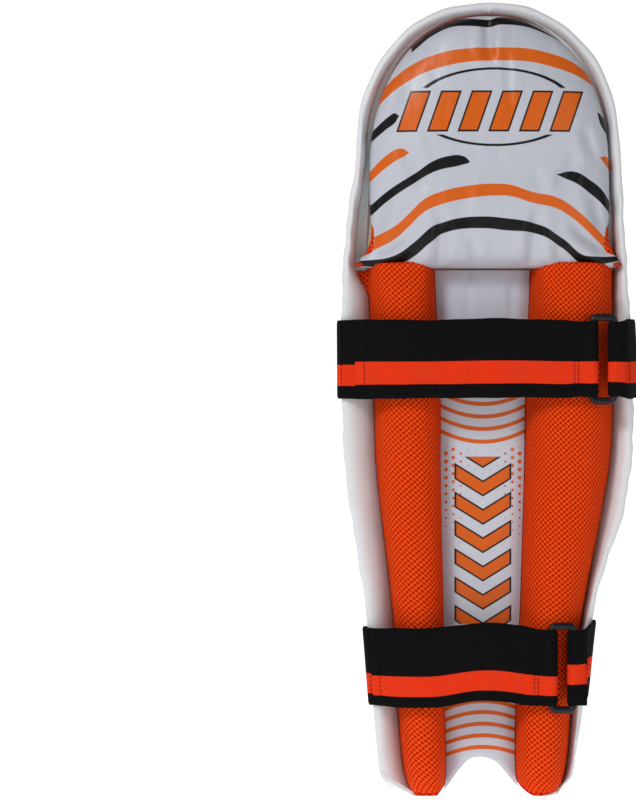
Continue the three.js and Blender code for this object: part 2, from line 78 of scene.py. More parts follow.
# How far the rim's lip stands out, the rounding of the front's lower edge, the back of the lining,
# and how far above it the slope inside the rim ends.
LIP, LOWER_ROUNDING = 2.6, 3.5
LINING_BACK, SLOPE_FOOT = -14.2, 2.6

# Layers on the leg side. A bolster has its two X edges at each height.
BED, PANEL_FACE, CUSHION_BASE = -12.7, -8.7, 372.0
BOLSTER_TOP, SHEET_TOP = 371.0, 371.5
NARROW_BOLSTER = {
    "inner": [[0, 33], [6, 30], [20, 28.5], [65, 29.5], [120, 30.3], [231, 32.4], [280, 32.4],
              [371, 36.6]],
    "outer": [[0, 51], [6, 57], [20, 61.5], [65, 65.5], [120, 68], [231, 80.2], [280, 82.3],
              [371, 86.5]]}
WIDE_BOLSTER = {
    "inner": [[0, -23], [6, -20], [20, -17.5], [65, -18], [120, -20.5], [231, -23.9], [280, -24.6],
              [371, -28]],
    "outer": [[0, -44], [6, -51], [20, -56], [65, -60], [120, -66], [231, -86.5], [280, -89.5],
              [371, -89]]}
BOLSTER_HEIGHT, BOLSTER_FLOOR, BOLSTER_INSET, BOLSTER_TIP = 33.0, 2.0, 1.5, 40.0
CUSHION_TOP, CUSHION_SIDE, CUSHION_CROWN = 551.0, 2.0, 24.0
CUSHION_FOOT, CUSHION_SHOULDER, CUSHION_INSET = 26.0, 440.0, 1.4
CUSHION_NARROW = [[372, 94.5], [378, 93.5], [385, 88], [396, 85], [440, 85]]
CUSHION_WIDE = [[372, 94.5], [379, 93.5], [387, 88.5], [398, 86], [440, 85.5]]

# Straps. Slots are given as the narrow side's X and the wide side's, and stripes as distances from
# the tape's middle.
WEBBING, STRAP_HALF, TAPE_PACE = 1.6, 27.5, 1.4
BAR_RADIUS, BAR_SPACING, BAR_Y, RING_HALF, RING_CORNER = 2.5, 15.4, 25.0, 29.2, 3.4
LOOP_HALF, LOOP_RADIUS = 26.2, 3.75
PATCH, PATCH_HALF, TAB_Y, STRAP_Y, LIE = 1.0, 24.0, 22.3, 26.8, 2.2
STRAPS = [
    {"name": "upper", "z": 308.5, "bar": -71.0, "slots": (62, -56), "tab_end": 42, "start": 0.3,
     "rise": 0.8, "stripe": (-17.6, -1.7), "tab_stripe": (-18.5, -3.8), "end_stripe": (-16.8, -2.0)},
    {"name": "lower", "z": 93.0, "bar": -42.6, "slots": (60, -51), "tab_end": 36, "start": 0.14,
     "rise": 4.5, "stripe": (-20.0, -6.0), "tab_stripe": (-19.0, -5.0), "end_stripe": (-12.0, 2.6)},
]
STITCH_LEVELS = np.arange(-24, 24.1, 3.0)
# A stitch: share of its length, height over the tape and thickness of the thread.
STITCH = [(0, -0.25, 0.10), (0.2, 0.14, 0.26), (0.5, 0.24, 0.30), (0.8, 0.14, 0.26), (1, -0.25, 0.10)]
LABEL_X, LABEL_Z, LABEL_THICK, LABEL_LIFT = (-8.0, 18.0), (372.5, 394.5), 0.8, 0.35


def through(points):
    """A smooth curve through points in order of their first value."""
    xs, ys = np.array(points, float).T
    index = np.arange(len(xs))
    low, high = np.maximum(index - 1, 0), np.minimum(index + 1, len(xs) - 1)
    slope = (ys[high] - ys[low]) / (xs[high] - xs[low])

    def at(value):
        v = np.clip(value, xs[0], xs[-1])
        i = np.clip(np.searchsorted(xs, v, side="right") - 1, 0, len(xs) - 2)
        width = xs[i + 1] - xs[i]
        t, rise = (v - xs[i]) / width, ys[i + 1] - ys[i]
        turn = (1 - t) * (slope[i] * width - rise) - t * (slope[i + 1] * width - rise)
        return ys[i] + t * rise + t * (1 - t) * turn

    return at


narrow_edge, wide_edge, arch = through(NARROW_EDGE), through(WIDE_EDGE), through(ARCH)
narrow_foot, wide_foot = through(NARROW_BOLSTER["outer"]), through(WIDE_BOLSTER["outer"])


def smooth(value, low, high):
    t = np.clip((value - low) / (high - low), 0, 1)
    return t * t * (3 - 2 * t)


def outline(side, z, inset=0.0):
    """The shell's half-width on one side."""
    rise = np.maximum(z - ARC_BASE, 0) / (TOP - inset - ARC_BASE)
    edge = np.where(np.asarray(side) > 0, narrow_edge(z), wide_edge(z))
    return (edge - inset) * np.maximum(1 - rise**ARC_POWER, 0) ** (1 / ARC_POWER)


def depth(z, inset=0.0):
    """The share of the bow's full depth at each height."""
    rise = np.maximum(z - DEPTH_BASE, 0) / (TOP - inset - DEPTH_BASE)
    return np.maximum(1 - rise**CLOSING_POWER, 0) ** CLOSING_EASE


def bow(x, z, inset=0.0, wall=0.0):
    """Y of the plain curve from rim to rim."""
    reach = np.maximum(outline(np.where(x >= 0, 1, -1), z, inset), 1e-6)
    t = np.minimum(np.abs(x) / reach, 1)
    return -(DEPTH - wall) * depth(z, inset) * (1 - t**BOW_POWER) ** BOW_EASE


def grooves(z):
    """Front grooves at each height, along a new last axis."""
    z = np.asarray(z, float)[..., None]
    share = np.clip((z - SHIN_TOP) / (DOME_BASE - SHIN_TOP), 0, 1)
    lines = SHIN_GROOVES * (1 - share) + DOME_GROOVES * share
    squeeze = [np.minimum(1, GROOVE_SPAN * outline(side, z) / np.abs(end))
               for side, end in ((1, lines[..., :1]), (-1, lines[..., 6:]))]
    return lines * np.where(lines > 0, squeeze[0], squeeze[1])


def shell_front(x, z):
    """The struck face: upright flutes below and above three rolls across the knee."""
    reach = np.maximum(outline(np.where(x >= 0, 1, -1), z), 1e-6)
    fade = 1 - np.minimum(np.abs(x) / reach, 1) ** 4
    lines = grooves(z)
    offset = x[..., None] - lines
    nearest = np.abs(offset).argmin(-1)
    gap = np.take_along_axis(np.abs(offset), nearest[..., None], -1)[..., 0]
    spacing = np.maximum(np.abs(np.diff(lines, axis=-1)).min(-1), LEAST_SPACING)
    outside = (x > lines[..., 0]) | (x < lines[..., 6])
    flute = FLUTE_DEPTH * np.clip(1 - gap / (spacing * FLUTE_SHARE), 0, 1) ** FLUTE_POWER
    short = SHORT_GROOVES[nearest] * (1 - smooth(z, SHORT_END - 8, SHORT_END + 10))
    in_shin = smooth(z, SHIN_TOP, SHIN_TOP - 7)
    in_dome = smooth(z, DOME_BASE, DOME_BASE + 5)
    above = (z - DOME_BASE - CUSP_RISE) / CUSP_HEIGHT
    cusp = CUSP_DEPTH * np.exp(-(gap / CUSP_HALF) ** 2 - above**2)
    wing = GROOVE_DEPTH * smooth(np.where(outside, gap, 0.0), -1.0, 1.0) * outside
    shin = np.where(outside, np.maximum(wing, flute), flute * (1 - short))
    rolls = ROLL_BULGE * np.abs(np.sin(np.pi * (z - SHIN_TOP) / ROLL)) ** ROLL_FULLNESS
    rolls = np.where((z > SHIN_TOP) & (z < DOME_BASE), rolls, 0)
    recess = shin * in_shin + flute * in_dome + cusp - rolls
    return bow(x, z) + recess * fade * depth(z)


def bottom_edge(x):
    """Height of the shell's lower edge."""
    flat = np.where(x > 0, LOBES[0][0], LOBES[1][0])
    edge = np.where(x > 0, LOBES[0][1], LOBES[1][1])
    t = np.clip((x - flat) / (edge - flat), 0, 1)
    return np.maximum(arch(x), LOBE_RISE * (1 - np.sqrt(1 - t * t)))


def foot(side, z):
    """Where the soft inner slope of the rim ends: beside the bolsters, and close in round the dome."""
    beside = np.where(np.asarray(side) > 0, narrow_foot(z), -wide_foot(z)) - 1.5
    return beside + (outline(side, z, RIM + 0.5) - beside) * smooth(z, 350, 378)


# ---------------------------------------------------------------------------------- meshes

def make(name, points, faces, crisp=45, **attributes):
    """A mesh object from points in millimetres, with point attributes of 1 or 3 numbers."""
    data = bpy.data.meshes.new(name)
    data.from_pydata((np.asarray(points, float) * MM).tolist(), [], [list(map(int, f)) for f in faces])
    piece = bpy.data.objects.new(name, data)
    for key, values in attributes.items():
        set_attribute(piece, key, values)
    data.validate()
    bpy.context.scene.collection.objects.link(piece)
    soften(piece, crisp)
    return piece


def soften(piece, crisp=45):
    piece.data.polygons.foreach_set("use_smooth", [True] * len(piece.data.polygons))
    piece.data.set_sharp_from_angle(angle=math.radians(crisp))


def tidy_mesh(piece, joined=0.01):
    """Joins points nearer than a distance, unless it is 0, and turns every face outwards."""
    work = bmesh.new()
    work.from_mesh(piece.data)
    if joined:
        bmesh.ops.remove_doubles(work, verts=work.verts, dist=joined * MM)
        bmesh.ops.dissolve_degenerate(work, edges=work.edges, dist=joined * MM * 0.5)
    bmesh.ops.recalc_face_normals(work, faces=work.faces)
    work.to_mesh(piece.data)
    work.free()
    return piece


def strip(a, b, closed=False):
    """Quads between two rows of point numbers."""
    count = len(a) if closed else len(a) - 1
    return [(a[i], a[(i + 1) % len(a)], b[(i + 1) % len(a)], b[i]) for i in range(count)]


def section_grid(rings, cap_ends=True):
    """Points and faces of a solid through closed rings of equal length."""
    total, width = len(rings), len(rings[0])
    number = np.arange(total * width).reshape(total, width)
    faces = [f for k in range(total - 1) for f in strip(number[k], number[k + 1], closed=True)]
    if cap_ends:
        faces += [list(number[0][::-1]), list(number[-1])]
    return np.array(rings, float).reshape(-1, 3), faces


def slab(face, back):
    """Points and faces of a sheet with thickness, from the grids of points on its two sides."""
    total, width = face.shape[:2]
    front = np.arange(total * width).reshape(total, width)
    rear = front + total * width
    faces = [f for k in range(total - 1) for f in strip(front[k], front[k + 1])]
    faces += [f[::-1] for k in range(total - 1) for f in strip(rear[k], rear[k + 1])]
    faces += strip(rear[0], front[0]) + strip(front[-1], rear[-1])
    faces += strip(front[:, 0], rear[:, 0]) + strip(rear[:, -1], front[:, -1])
    return np.concatenate([face.reshape(-1, 3), back.reshape(-1, 3)]), faces


def points_of(piece):
    co = np.empty(len(piece.data.vertices) * 3)
    piece.data.vertices.foreach_get("co", co)
    return co.reshape(-1, 3) / MM


def move_points(piece, points):
    piece.data.vertices.foreach_set("co", (np.asarray(points) * MM).ravel())
    piece.data.update()


def set_attribute(piece, name, values):
    values = np.asarray(values, np.float32)
    kind, field = ("FLOAT_VECTOR", "vector") if values.ndim == 2 else ("FLOAT", "value")
    made = piece.data.attributes.get(name) or piece.data.attributes.new(name, kind, "POINT")
    made.data.foreach_set(field, values.ravel())


def apply_modifiers(piece):
    graph = bpy.context.evaluated_depsgraph_get()
    data = bpy.data.meshes.new_from_object(piece.evaluated_get(graph), depsgraph=graph)
    piece.modifiers.clear()
    piece.data = data
    return piece


def subdivided(piece, levels=1):
    piece.modifiers.new("smooth", "SUBSURF").levels = levels
    return apply_modifiers(piece)


def puffed(piece, voxel, cap, pinned, pressure=4.0, frames=20):
    """A stuffed cover: an even mesh, swollen by cloth simulation between the points that are sewn."""
    bpy.ops.object.select_all(action="DESELECT")
    piece.select_set(True)
    bpy.context.view_layer.objects.active = piece
    piece.data.remesh_voxel_size = voxel * MM
    bpy.ops.object.voxel_remesh()
    start = points_of(piece)
    group = piece.vertex_groups.new(name="sewn")
    group.add([int(i) for i in np.flatnonzero(pinned(start))], 1.0, "REPLACE")
    cloth = piece.modifiers.new("Cloth", "CLOTH")
    cloth.settings.use_pressure = True
    cloth.settings.uniform_pressure_force = pressure
    cloth.settings.vertex_group_mass = "sewn"
    cloth.settings.effector_weights.gravity = 0
    cloth.point_cache.frame_end = frames
    for number in range(1, frames + 1):
        bpy.context.scene.frame_set(number)
    graph = bpy.context.evaluated_depsgraph_get()
    swollen = np.array([v.co for v in piece.evaluated_get(graph).data.vertices]) / MM
    piece.modifiers.remove(cloth)
    bpy.context.scene.frame_set(1)
    shift = swollen - start
    length = np.linalg.norm(shift, axis=1, keepdims=True)
    move_points(piece, start + shift * np.minimum(1, cap / np.maximum(length, 1e-6)))
    piece.vertex_groups.clear()
    return piece


# ------------------------------------------------------------------------------- materials

class Look:
    """One material's node graph, with a short call for each kind of node. Lengths are in millimetres."""

    def __init__(self, name, colour=(0.8, 0.8, 0.8), roughness=0.5):
        self.material = bpy.data.materials.new(name)
        self.material.use_nodes = True
        self.tree = self.material.node_tree
        self.shader = self.tree.nodes["Principled BSDF"]
        self.put(self.shader.inputs["Base Color"], colour)
        self.put(self.shader.inputs["Roughness"], roughness)

    def put(self, socket, value):
        if isinstance(value, bpy.types.NodeSocket):
            self.tree.links.new(value, socket)
        elif hasattr(value, "__len__") and len(value) == 3 and socket.type == "RGBA":
            socket.default_value = (*value, 1)
        else:
            socket.default_value = value

    def node(self, kind, *values, **settings):
        made = self.tree.nodes.new(kind)
        for key, value in settings.items():
            setattr(made, key, value)
        for socket, value in zip(made.inputs, values):
            if value is not None:
                self.put(socket, value)
        return made

    def math(self, operation, *values):
        return self.node("ShaderNodeMath", *values, operation=operation).outputs[0]

    def add(self, *values):
        total = values[0]
        for value in values[1:]:
            total = self.math("ADD", total, value)
        return total

    def times(self, a, b):
        return self.math("MULTIPLY", a, b)

    def less(self, a, b):
        return self.math("SUBTRACT", a, b)

    def invert(self, a):
        return self.math("SUBTRACT", 1.0, a)

    def most(self, *values):
        total = values[0]
        for value in values[1:]:
            total = self.math("MAXIMUM", total, value)
        return total

    def step(self, value, low, high):
        made = self.node("ShaderNodeMapRange", value, low, high, 0.0, 1.0, interpolation_type="SMOOTHSTEP")
        return made.outputs[0]

    def within(self, value, low, high, soft=0.35):
        rise = self.step(value, low - soft, low + soft)
        return self.times(rise, self.step(value, high + soft, high - soft))

    def mix(self, share, a, b):
        made = self.node("ShaderNodeMix", data_type="RGBA")
        for socket, value in zip((made.inputs[0], made.inputs[6], made.inputs[7]), (share, a, b)):
            self.put(socket, value)
        return made.outputs[2]

    def place(self):
        """The point's place on the piece at rest, in millimetres."""
        vector = self.node("ShaderNodeTexCoord").outputs["Object"]
        return self.node("ShaderNodeVectorMath", vector, (1000.0,) * 3, operation="MULTIPLY").outputs[0]

    def attribute(self, name):
        return self.node("ShaderNodeAttribute", attribute_name=name).outputs["Vector"]

    def parts(self, vector):
        return self.node("ShaderNodeSeparateXYZ", vector).outputs[:3]

    def joined(self, x, y, z=0.0):
        return self.node("ShaderNodeCombineXYZ", x, y, z).outputs[0]

    def noise(self, vector, size, detail=2.0):
        made = self.node("ShaderNodeTexNoise")
        for name, value in (("Vector", vector), ("Scale", 1 / size), ("Detail", detail)):
            self.put(made.inputs[name], value)
        return made.outputs[0]

    def wave(self, value, pitch):
        """0 to 1 and back once in each pitch."""
        turned = self.math("SINE", self.times(value, 2 * math.pi / pitch))
        return self.math("MULTIPLY_ADD", turned, 0.5, 0.5)

    def cell(self, value, pitch, shift=0.0):
        """Distance from the middle of each pitch."""
        part = self.math("FRACT", self.math("MULTIPLY_ADD", value, 1 / pitch, shift))
        return self.times(self.less(part, 0.5), pitch)

    def curve(self, value, points, low, high, floor, ceiling):
        """A smooth curve through points, as a function of a value from low to high."""
        made = self.node("ShaderNodeFloatCurve")
        line = made.mapping.curves[0]
        spots = sorted(((x - low) / (high - low), (y - floor) / (ceiling - floor)) for x, y in points)
        line.points[0].location, line.points[1].location = spots[0], spots[-1]
        for spot in spots[1:-1]:
            line.points.new(*spot)
        for point in line.points:
            point.handle_type = "AUTO_CLAMPED"
        made.mapping.extend = "HORIZONTAL"
        made.mapping.update()
        share = self.math("MULTIPLY_ADD", value, 1 / (high - low), -low / (high - low))
        self.put(made.inputs["Value"], share)
        return self.math("MULTIPLY_ADD", made.outputs[0], ceiling - floor, floor)

    def bump(self, height, distance, strength=1.0, under=None):
        made = self.node("ShaderNodeBump")
        values = {"Strength": strength, "Distance": distance * MM, "Height": height}
        for name, value in values.items():
            self.put(made.inputs[name], value)
        if under is not None:
            self.put(made.inputs["Normal"], under)
        return made.outputs[0]

    def finish(self, colour=None, roughness=None, normal=None, **constants):
        linked = {"Base Color": colour, "Roughness": roughness, "Normal": normal}
        for name, value in linked.items():
            if value is not None:
                self.put(self.shader.inputs[name], value)
        for name, value in constants.items():
            self.shader.inputs[name.replace("_", " ")].default_value = value
        return self.material


# Colours, as linear red, green and blue.
WHITE_PRINT = (0.49, 0.505, 0.565)
INK_ORANGE = (0.66, 0.115, 0.006)
INK_BLACK = (0.003, 0.003, 0.004)
MESH_BRIGHT = (0.94, 0.078, 0.004)
# The colour of the mesh's holes is painted shade.
MESH_HOLE_SHADE = (0.40, 0.008, 0.001)
STRIPE_ORANGE = (0.98, 0.050, 0.009)
WEB_BLACK = (0.0025, 0.0025, 0.003)
THREAD_BLACK = (0.004, 0.004, 0.005)


def shell_look():
    """White moulded skin, embossed with small diamonds on the struck face only."""
    look = Look("shell_foam_skin")
    pitch, lean = 2.1, 0.8
    place = look.place()
    x, y, z = look.parts(place)
    diagonals = [look.wave(look.add(x, look.times(z, slope)), pitch) for slope in (lean, -lean)]
    diamond = look.math("MULTIPLY", *diagonals)
    facing = look.parts(look.node("ShaderNodeNewGeometry").outputs["Normal"])[1]
    on_front = look.times(look.step(facing, 0.10, -0.15), look.step(y, -0.5, -4.0))
    grain = look.noise(place, 0.9, 3)
    cloud = look.noise(place, 60, 2)
    tone = look.mix(cloud, (0.69, 0.70, 0.72), (0.75, 0.76, 0.78))
    # Painted shade: the hollows of the embossed diamonds on the struck face are darkened, where the bump
    # below sinks them.
    tone = look.mix(look.times(look.times(diamond, on_front), 0.32), tone, (0.46, 0.46, 0.48))
    dirt = look.times(look.step(look.noise(place, 22, 4), 0.56, 0.78), 0.10)
    tone = look.mix(dirt, tone, (0.46, 0.45, 0.42))
    # Painted cool shade on the inside of the rim where it faces the leg side, deep in the cavity and above
    # the lower end, cancelling the orange light bounced there from the mesh.
    shade = look.times(look.step(facing, 0.1, 0.4), look.step(y, 2.0, -8.0))
    tone = look.mix(look.times(shade, look.step(z, 30, 120)), tone, (0.64, 0.77, 0.79))
    fine = look.bump(grain, 0.05, 0.5)
    normal = look.bump(look.times(look.invert(diamond), on_front), 0.5, 1.0, fine)
    rough = look.math("MULTIPLY_ADD", grain, 0.18, 0.34)
    return look.finish(tone, rough, normal, Coat_Weight=0.08, Coat_Roughness=0.35)


def stripe_mask(look, x, z, points):
    """Where a printed band lies. Its points give x, the middle's height and its thickness."""
    points = sorted(points)
    low, high = points[0][0], points[-1][0]
    middle = look.curve(x, [(p[0], p[1]) for p in points], low, high, 365, 555)
    half = look.curve(x, [(p[0], p[2] / 2) for p in points], low, high, 0, 8)
    away = look.math("ABSOLUTE", look.less(z, middle))
    mask = look.step(look.less(half, away), -0.2, 0.35)
    soft = [0.0 if end[2] < 1 else 0.6 for end in (points[0], points[-1])]
    if low > -75:
        mask = look.times(mask, look.step(x, low - 0.6, low + soft[0]))
    if high < 75:
        mask = look.times(mask, look.step(x, high + 0.6, high - soft[1]))
    return mask


# Printed bands on the knee cushion: X, height of the middle and thickness.
BLACK_BANDS = [
    [(55, 527.4, 4.5), (38, 540.6, 4.6), (20, 546.6, 5.8), (1, 545.6, 5.6), (-8, 547.4, 5.8),
     (-18, 547, 5.4), (-29, 544, 3.4), (-54, 531.6, 0)],
    [(88, 461, 6), (79, 469.5, 7.5), (69, 477.4, 8), (64, 480, 0.5)],
    [(-76, 483, 0), (-79, 477.3, 8), (-88, 467, 9)],
    [(83, 414.3, 7.7), (73, 422.9, 7.2), (53, 436, 6.7), (39, 444.4, 8), (27, 447.6, 8.4),
     (19, 448.3, 6), (14, 447, 0)],
    [(-46, 438.6, 0), (-60, 436.6, 8), (-71, 429.9, 9.6), (-79, 423.6, 10), (-88, 412, 8)],
    [(94, 376.5, 3.5), (82, 376.5, 5), (73, 377, 6), (63, 380, 7.7), (53, 386.3, 10),
     (42, 395.8, 10.5), (33, 401, 7.8), (4, 404.7, 8.4), (-8, 403.7, 8.6), (-36, 399.2, 7),
     (-50, 390.8, 7), (-70, 378.3, 6), (-81, 378.6, 5), (-94, 380.5, 3)],
]
ORANGE_BANDS = [
    [(84, 485, 9), (73, 497.5, 9), (55, 511, 10.4), (36, 518.8, 10.4), (10, 523.1, 9.6),
     (-13, 523.4, 9.4), (-43, 519.4, 9.4), (-67, 509.4, 7.2), (-75, 502.4, 4.5), (-78, 498.1, 0)],
    [(88, 434, 7), (73, 447.9, 8.6), (63, 453.6, 7), (57, 454, 0.5)],
    [(-78, 451, 0.5), (-83, 448.1, 7), (-88, 441, 8)],
    [(84, 389, 9.1), (66, 398.5, 9.1), (58, 405.6, 9.1), (47, 416.1, 9.1), (39, 420.3, 9.1),
     (4, 427.5, 8.7), (-8, 427.7, 8.3), (-32, 421.7, 7.7), (-45, 419.2, 7.9), (-57, 412.7, 8),
     (-84, 388.6, 8.1)],
]
# The print is stretched a little from its middle by the filling.
PRINT_STRETCH, PRINT_MIDDLE = 1.006, 280.0
# A generic row of slanted bars with a dark outline, and an ellipse broken behind it.
MOTIF = {"z": 483.0, "half": 13.5, "left": 63.0, "right": -66.0, "pitch": 21.5, "bar": 6.3,
         "slant": 0.35, "edge": 1.3, "clear": 16.5}
ELLIPSE = {"x": -3.0, "z": 486.0, "across": 56.0, "up": 27.0}
# Creases: from (x, z) to (x, z), depth, width.
CREASES = [
    ((1.4, 552), (0.5, 516), 3.8, 4.0), ((-12, 524), (-13, 486), 1.4, 2.6),
    ((35, 374), (33, 410), 3.4, 4.5), ((-29, 374), (-33, 414), 3.6, 4.5),
    ((88, 378), (58, 396), 4.0, 4.5), ((-88, 379), (-58, 402), 4.4, 4.5),
    ((10, 374), (12, 392), 1.8, 3.5), ((84, 384), (72, 428), 2.6, 5.0),
    ((-83, 386), (-72, 426), 2.8, 5.0), ((60, 456), (46, 428), 1.8, 5.0),
    ((-60, 450), (-44, 418), 1.9, 5.0), ((-52, 372), (-46, 388), 2.2, 3.5),
    ((70, 372), (50, 384), 2.0, 4.0), ((-70, 372), (-52, 383), 2.2, 4.0),
    ((-66, 470), (-74, 448), 1.6, 4.0), ((64, 500), (74, 470), 1.4, 4.5),
    ((-40, 414), (-30, 442), 1.2, 5.0), ((22, 402), (16, 430), 1.1, 5.0),
]


def print_look():
    """The knee cushion's coated sheet with its printed bands, bars and broken ellipse."""
    look = Look("printed_sheet")
    place = look.place()
    x, _, z = look.parts(place)
    wobble = look.noise(place, 14, 2)
    x = look.times(x, PRINT_STRETCH)
    z = look.math("MULTIPLY_ADD", z, PRINT_STRETCH, PRINT_MIDDLE * (1 - PRINT_STRETCH))
    black = look.most(*[stripe_mask(look, x, z, band) for band in BLACK_BANDS])
    orange = look.most(*[stripe_mask(look, x, z, band) for band in ORANGE_BANDS])

    up = look.less(z, MOTIF["z"])
    slid = look.math("MULTIPLY_ADD", up, MOTIF["slant"], x)
    across = look.math("ABSOLUTE", look.cell(slid, MOTIF["pitch"]))
    height = look.math("ABSOLUTE", up)
    inside = look.within(slid, MOTIF["right"], MOTIF["left"], 0.3)
    def bars(grown):
        wide, tall = MOTIF["bar"] + grown, MOTIF["half"] + grown
        shape = look.times(look.step(across, wide, wide - 0.6), look.step(height, tall, tall - 0.6))
        return look.times(shape, inside)

    outer, inner = bars(MOTIF["edge"]), bars(0.0)

    dx = look.times(look.less(x, ELLIPSE["x"]), 1 / ELLIPSE["across"])
    dz = look.times(look.less(z, ELLIPSE["z"]), 1 / ELLIPSE["up"])
    radius = look.math("SQRT", look.add(look.times(dx, dx), look.times(dz, dz)))
    ring = look.step(look.math("ABSOLUTE", look.less(radius, 1.0)), 0.040, 0.022)
    clear = look.invert(look.within(up, -MOTIF["clear"], MOTIF["clear"], 0.5))
    black = look.most(black, look.times(ring, clear))

    tone = look.mix(look.noise(place, 60, 1), WHITE_PRINT, tuple(c * 1.12 for c in WHITE_PRINT))
    tone = look.mix(orange, tone, INK_ORANGE)
    tone = look.mix(black, tone, INK_BLACK)
    tone = look.mix(outer, tone, INK_BLACK)
    tone = look.mix(inner, tone, INK_ORANGE)
    weave = look.times(look.wave(x, 0.55), look.wave(z, 0.55))
    leather = look.noise(place, 1.4, 4)
    crinkle = look.noise(look.joined(x, 0.0, look.times(z, 0.45)), 17, 2)
    normal = look.bump(weave, 0.03, 0.5)
    normal = look.bump(leather, 0.10, 0.5, normal)
    normal = look.bump(crinkle, 3.0, 0.7, normal)
    rough = look.add(look.times(wobble, 0.10), look.times(look.most(orange, black), 0.05), 0.27)
    return look.finish(tone, rough, normal, Specular_IOR_Level=0.22, Coat_Weight=0.05, Coat_Roughness=0.2)


# The middle panel's print: nested arcs at both ends, dots between two heights and chevrons.
PANEL_ARCS = [277.2, 268.3, 259.6, 250.6]
PANEL_FROWNS = [67.8, 60.0, 51.8, 43.6, 35.4]
PANEL_MIDDLE, ARC_RADIUS = 4.0, 58.0
DOTS = {"low": 138, "high": 247, "across": 5.2, "up": 5.7, "radius": 1.55}
CHEVRON = {"low": 122, "high": 240, "pitch": 20.0, "shift": 0.62, "slope": 0.62, "half": 4.6,
           "reach": 19.0, "edge": 1.4}


def panel_look():
    """White print with nested arcs at both ends, fading dots and a generic column of chevrons."""
    look = Look("printed_panel")
    place = look.place()
    x, _, z = look.parts(place)
    off = look.less(x, PANEL_MIDDLE)
    side = look.math("ABSOLUTE", off)
    curved = look.times(look.times(off, off), 1 / (2 * ARC_RADIUS))
    arcs = []
    for height, sign in [(h, 1) for h in PANEL_ARCS] + [(h, -1) for h in PANEL_FROWNS]:
        bent = look.math("MULTIPLY_ADD", curved, -float(sign), z)
        arcs.append(look.step(look.math("ABSOLUTE", look.less(bent, height)), 1.75, 1.15))

    dots = []
    for shift in (0.0, 0.5):
        dx = look.cell(off, DOTS["across"] * 2, shift)
        dz = look.cell(z, DOTS["up"], shift)
        dots.append(look.math("SQRT", look.add(look.times(dx, dx), look.times(dz, dz))))
    nearest = look.math("MINIMUM", *dots)
    upper = look.step(z, DOTS["low"], DOTS["high"] - 1)
    growth = look.math("MULTIPLY_ADD", look.step(side, 6, 26), 0.75, 0.25)
    radius = look.times(look.times(upper, growth), DOTS["radius"])
    dot = look.times(look.step(look.less(radius, nearest), -0.15, 0.3),
                     look.within(z, DOTS["low"], DOTS["high"], 0.5))
    orange = look.most(*arcs, dot)

    span = look.within(z, CHEVRON["low"], CHEVRON["high"], 0.3)
    fold = look.math("MULTIPLY_ADD", side, -CHEVRON["slope"], z)
    across = look.math("ABSOLUTE", look.cell(fold, CHEVRON["pitch"], CHEVRON["shift"]))

    def chevrons(grown):
        tall, wide = CHEVRON["half"] + grown, CHEVRON["reach"] + grown
        shape = look.times(look.step(across, tall, tall - 0.6), look.step(side, wide, wide - 0.6))
        return look.times(shape, span)

    tone = look.mix(look.noise(place, 35, 3), (0.53, 0.57, 0.64), (0.60, 0.63, 0.70))
    tone = look.mix(orange, tone, INK_ORANGE)
    tone = look.mix(chevrons(CHEVRON["edge"]), tone, INK_BLACK)
    tone = look.mix(chevrons(0.0), tone, INK_ORANGE)
    weave = look.times(look.wave(x, 0.6), look.wave(z, 0.6))
    soft = look.noise(look.joined(x, 0.0, look.times(z, 0.3)), 12, 3)
    normal = look.bump(soft, 0.9, 0.5, look.bump(weave, 0.04, 0.6))
    rough = look.math("MULTIPLY_ADD", look.noise(place, 9, 2), 0.15, 0.30)
    return look.finish(tone, rough, normal, Specular_IOR_Level=0.25, Coat_Weight=0.05,
                       Coat_Roughness=0.25)


MESH_ACROSS, MESH_UP, MESH_TURN = 4.9, 3.75, 0.10


def mesh_look(name):
    """Knitted spacer mesh: rows of small round holes, each offset from the next, in a raised knit."""
    look = Look(name)
    place = look.place()
    u, v, _ = look.parts(look.attribute("weave"))
    jitter = look.noise(place, 6, 2)
    u2 = look.add(look.math("MULTIPLY_ADD", v, MESH_TURN * 0.4, u), look.times(jitter, 0.9))
    v2 = look.add(look.math("MULTIPLY_ADD", u, MESH_TURN, v), look.times(jitter, 0.7))
    near = []
    for shift in (0.0, 0.5):
        du = look.times(look.cell(u2, MESH_ACROSS, shift), 0.95)
        dv = look.times(look.cell(v2, MESH_UP, shift), 1.1)
        near.append(look.math("SQRT", look.add(look.times(du, du), look.times(dv, dv))))
    away = look.math("MINIMUM", *near)
    hole = look.step(away, 1.32, 0.55)
    yarn = look.times(look.wave(look.add(u2, v2), 0.9), look.wave(look.less(u2, v2), 0.9))
    ridge = look.step(away, 0.9, 1.7)
    # Painted shade: the knit is darker towards each hole and darkest in the holes, where the bump below
    # sinks it.
    tone = look.mix(ridge, (0.74, 0.040, 0.002), MESH_BRIGHT)
    # Painted highlight: lighter, yellower orange on the raised yarn, which the bump below also lifts.
    tone = look.mix(look.times(yarn, 0.35), tone, (0.98, 0.13, 0.012))
    tone = look.mix(look.times(look.noise(place, 45, 2), 0.25), tone, (0.70, 0.045, 0.003))
    tone = look.mix(look.times(hole, 0.85), tone, MESH_HOLE_SHADE)
    height = look.add(look.times(ridge, 0.6), look.times(yarn, 0.22), look.times(hole, -1.0))
    normal = look.bump(height, 0.55, 0.8)
    rough = look.math("MULTIPLY_ADD", hole, 0.2, 0.72)
    return look.finish(tone, rough, normal, Specular_IOR_Level=0.06)


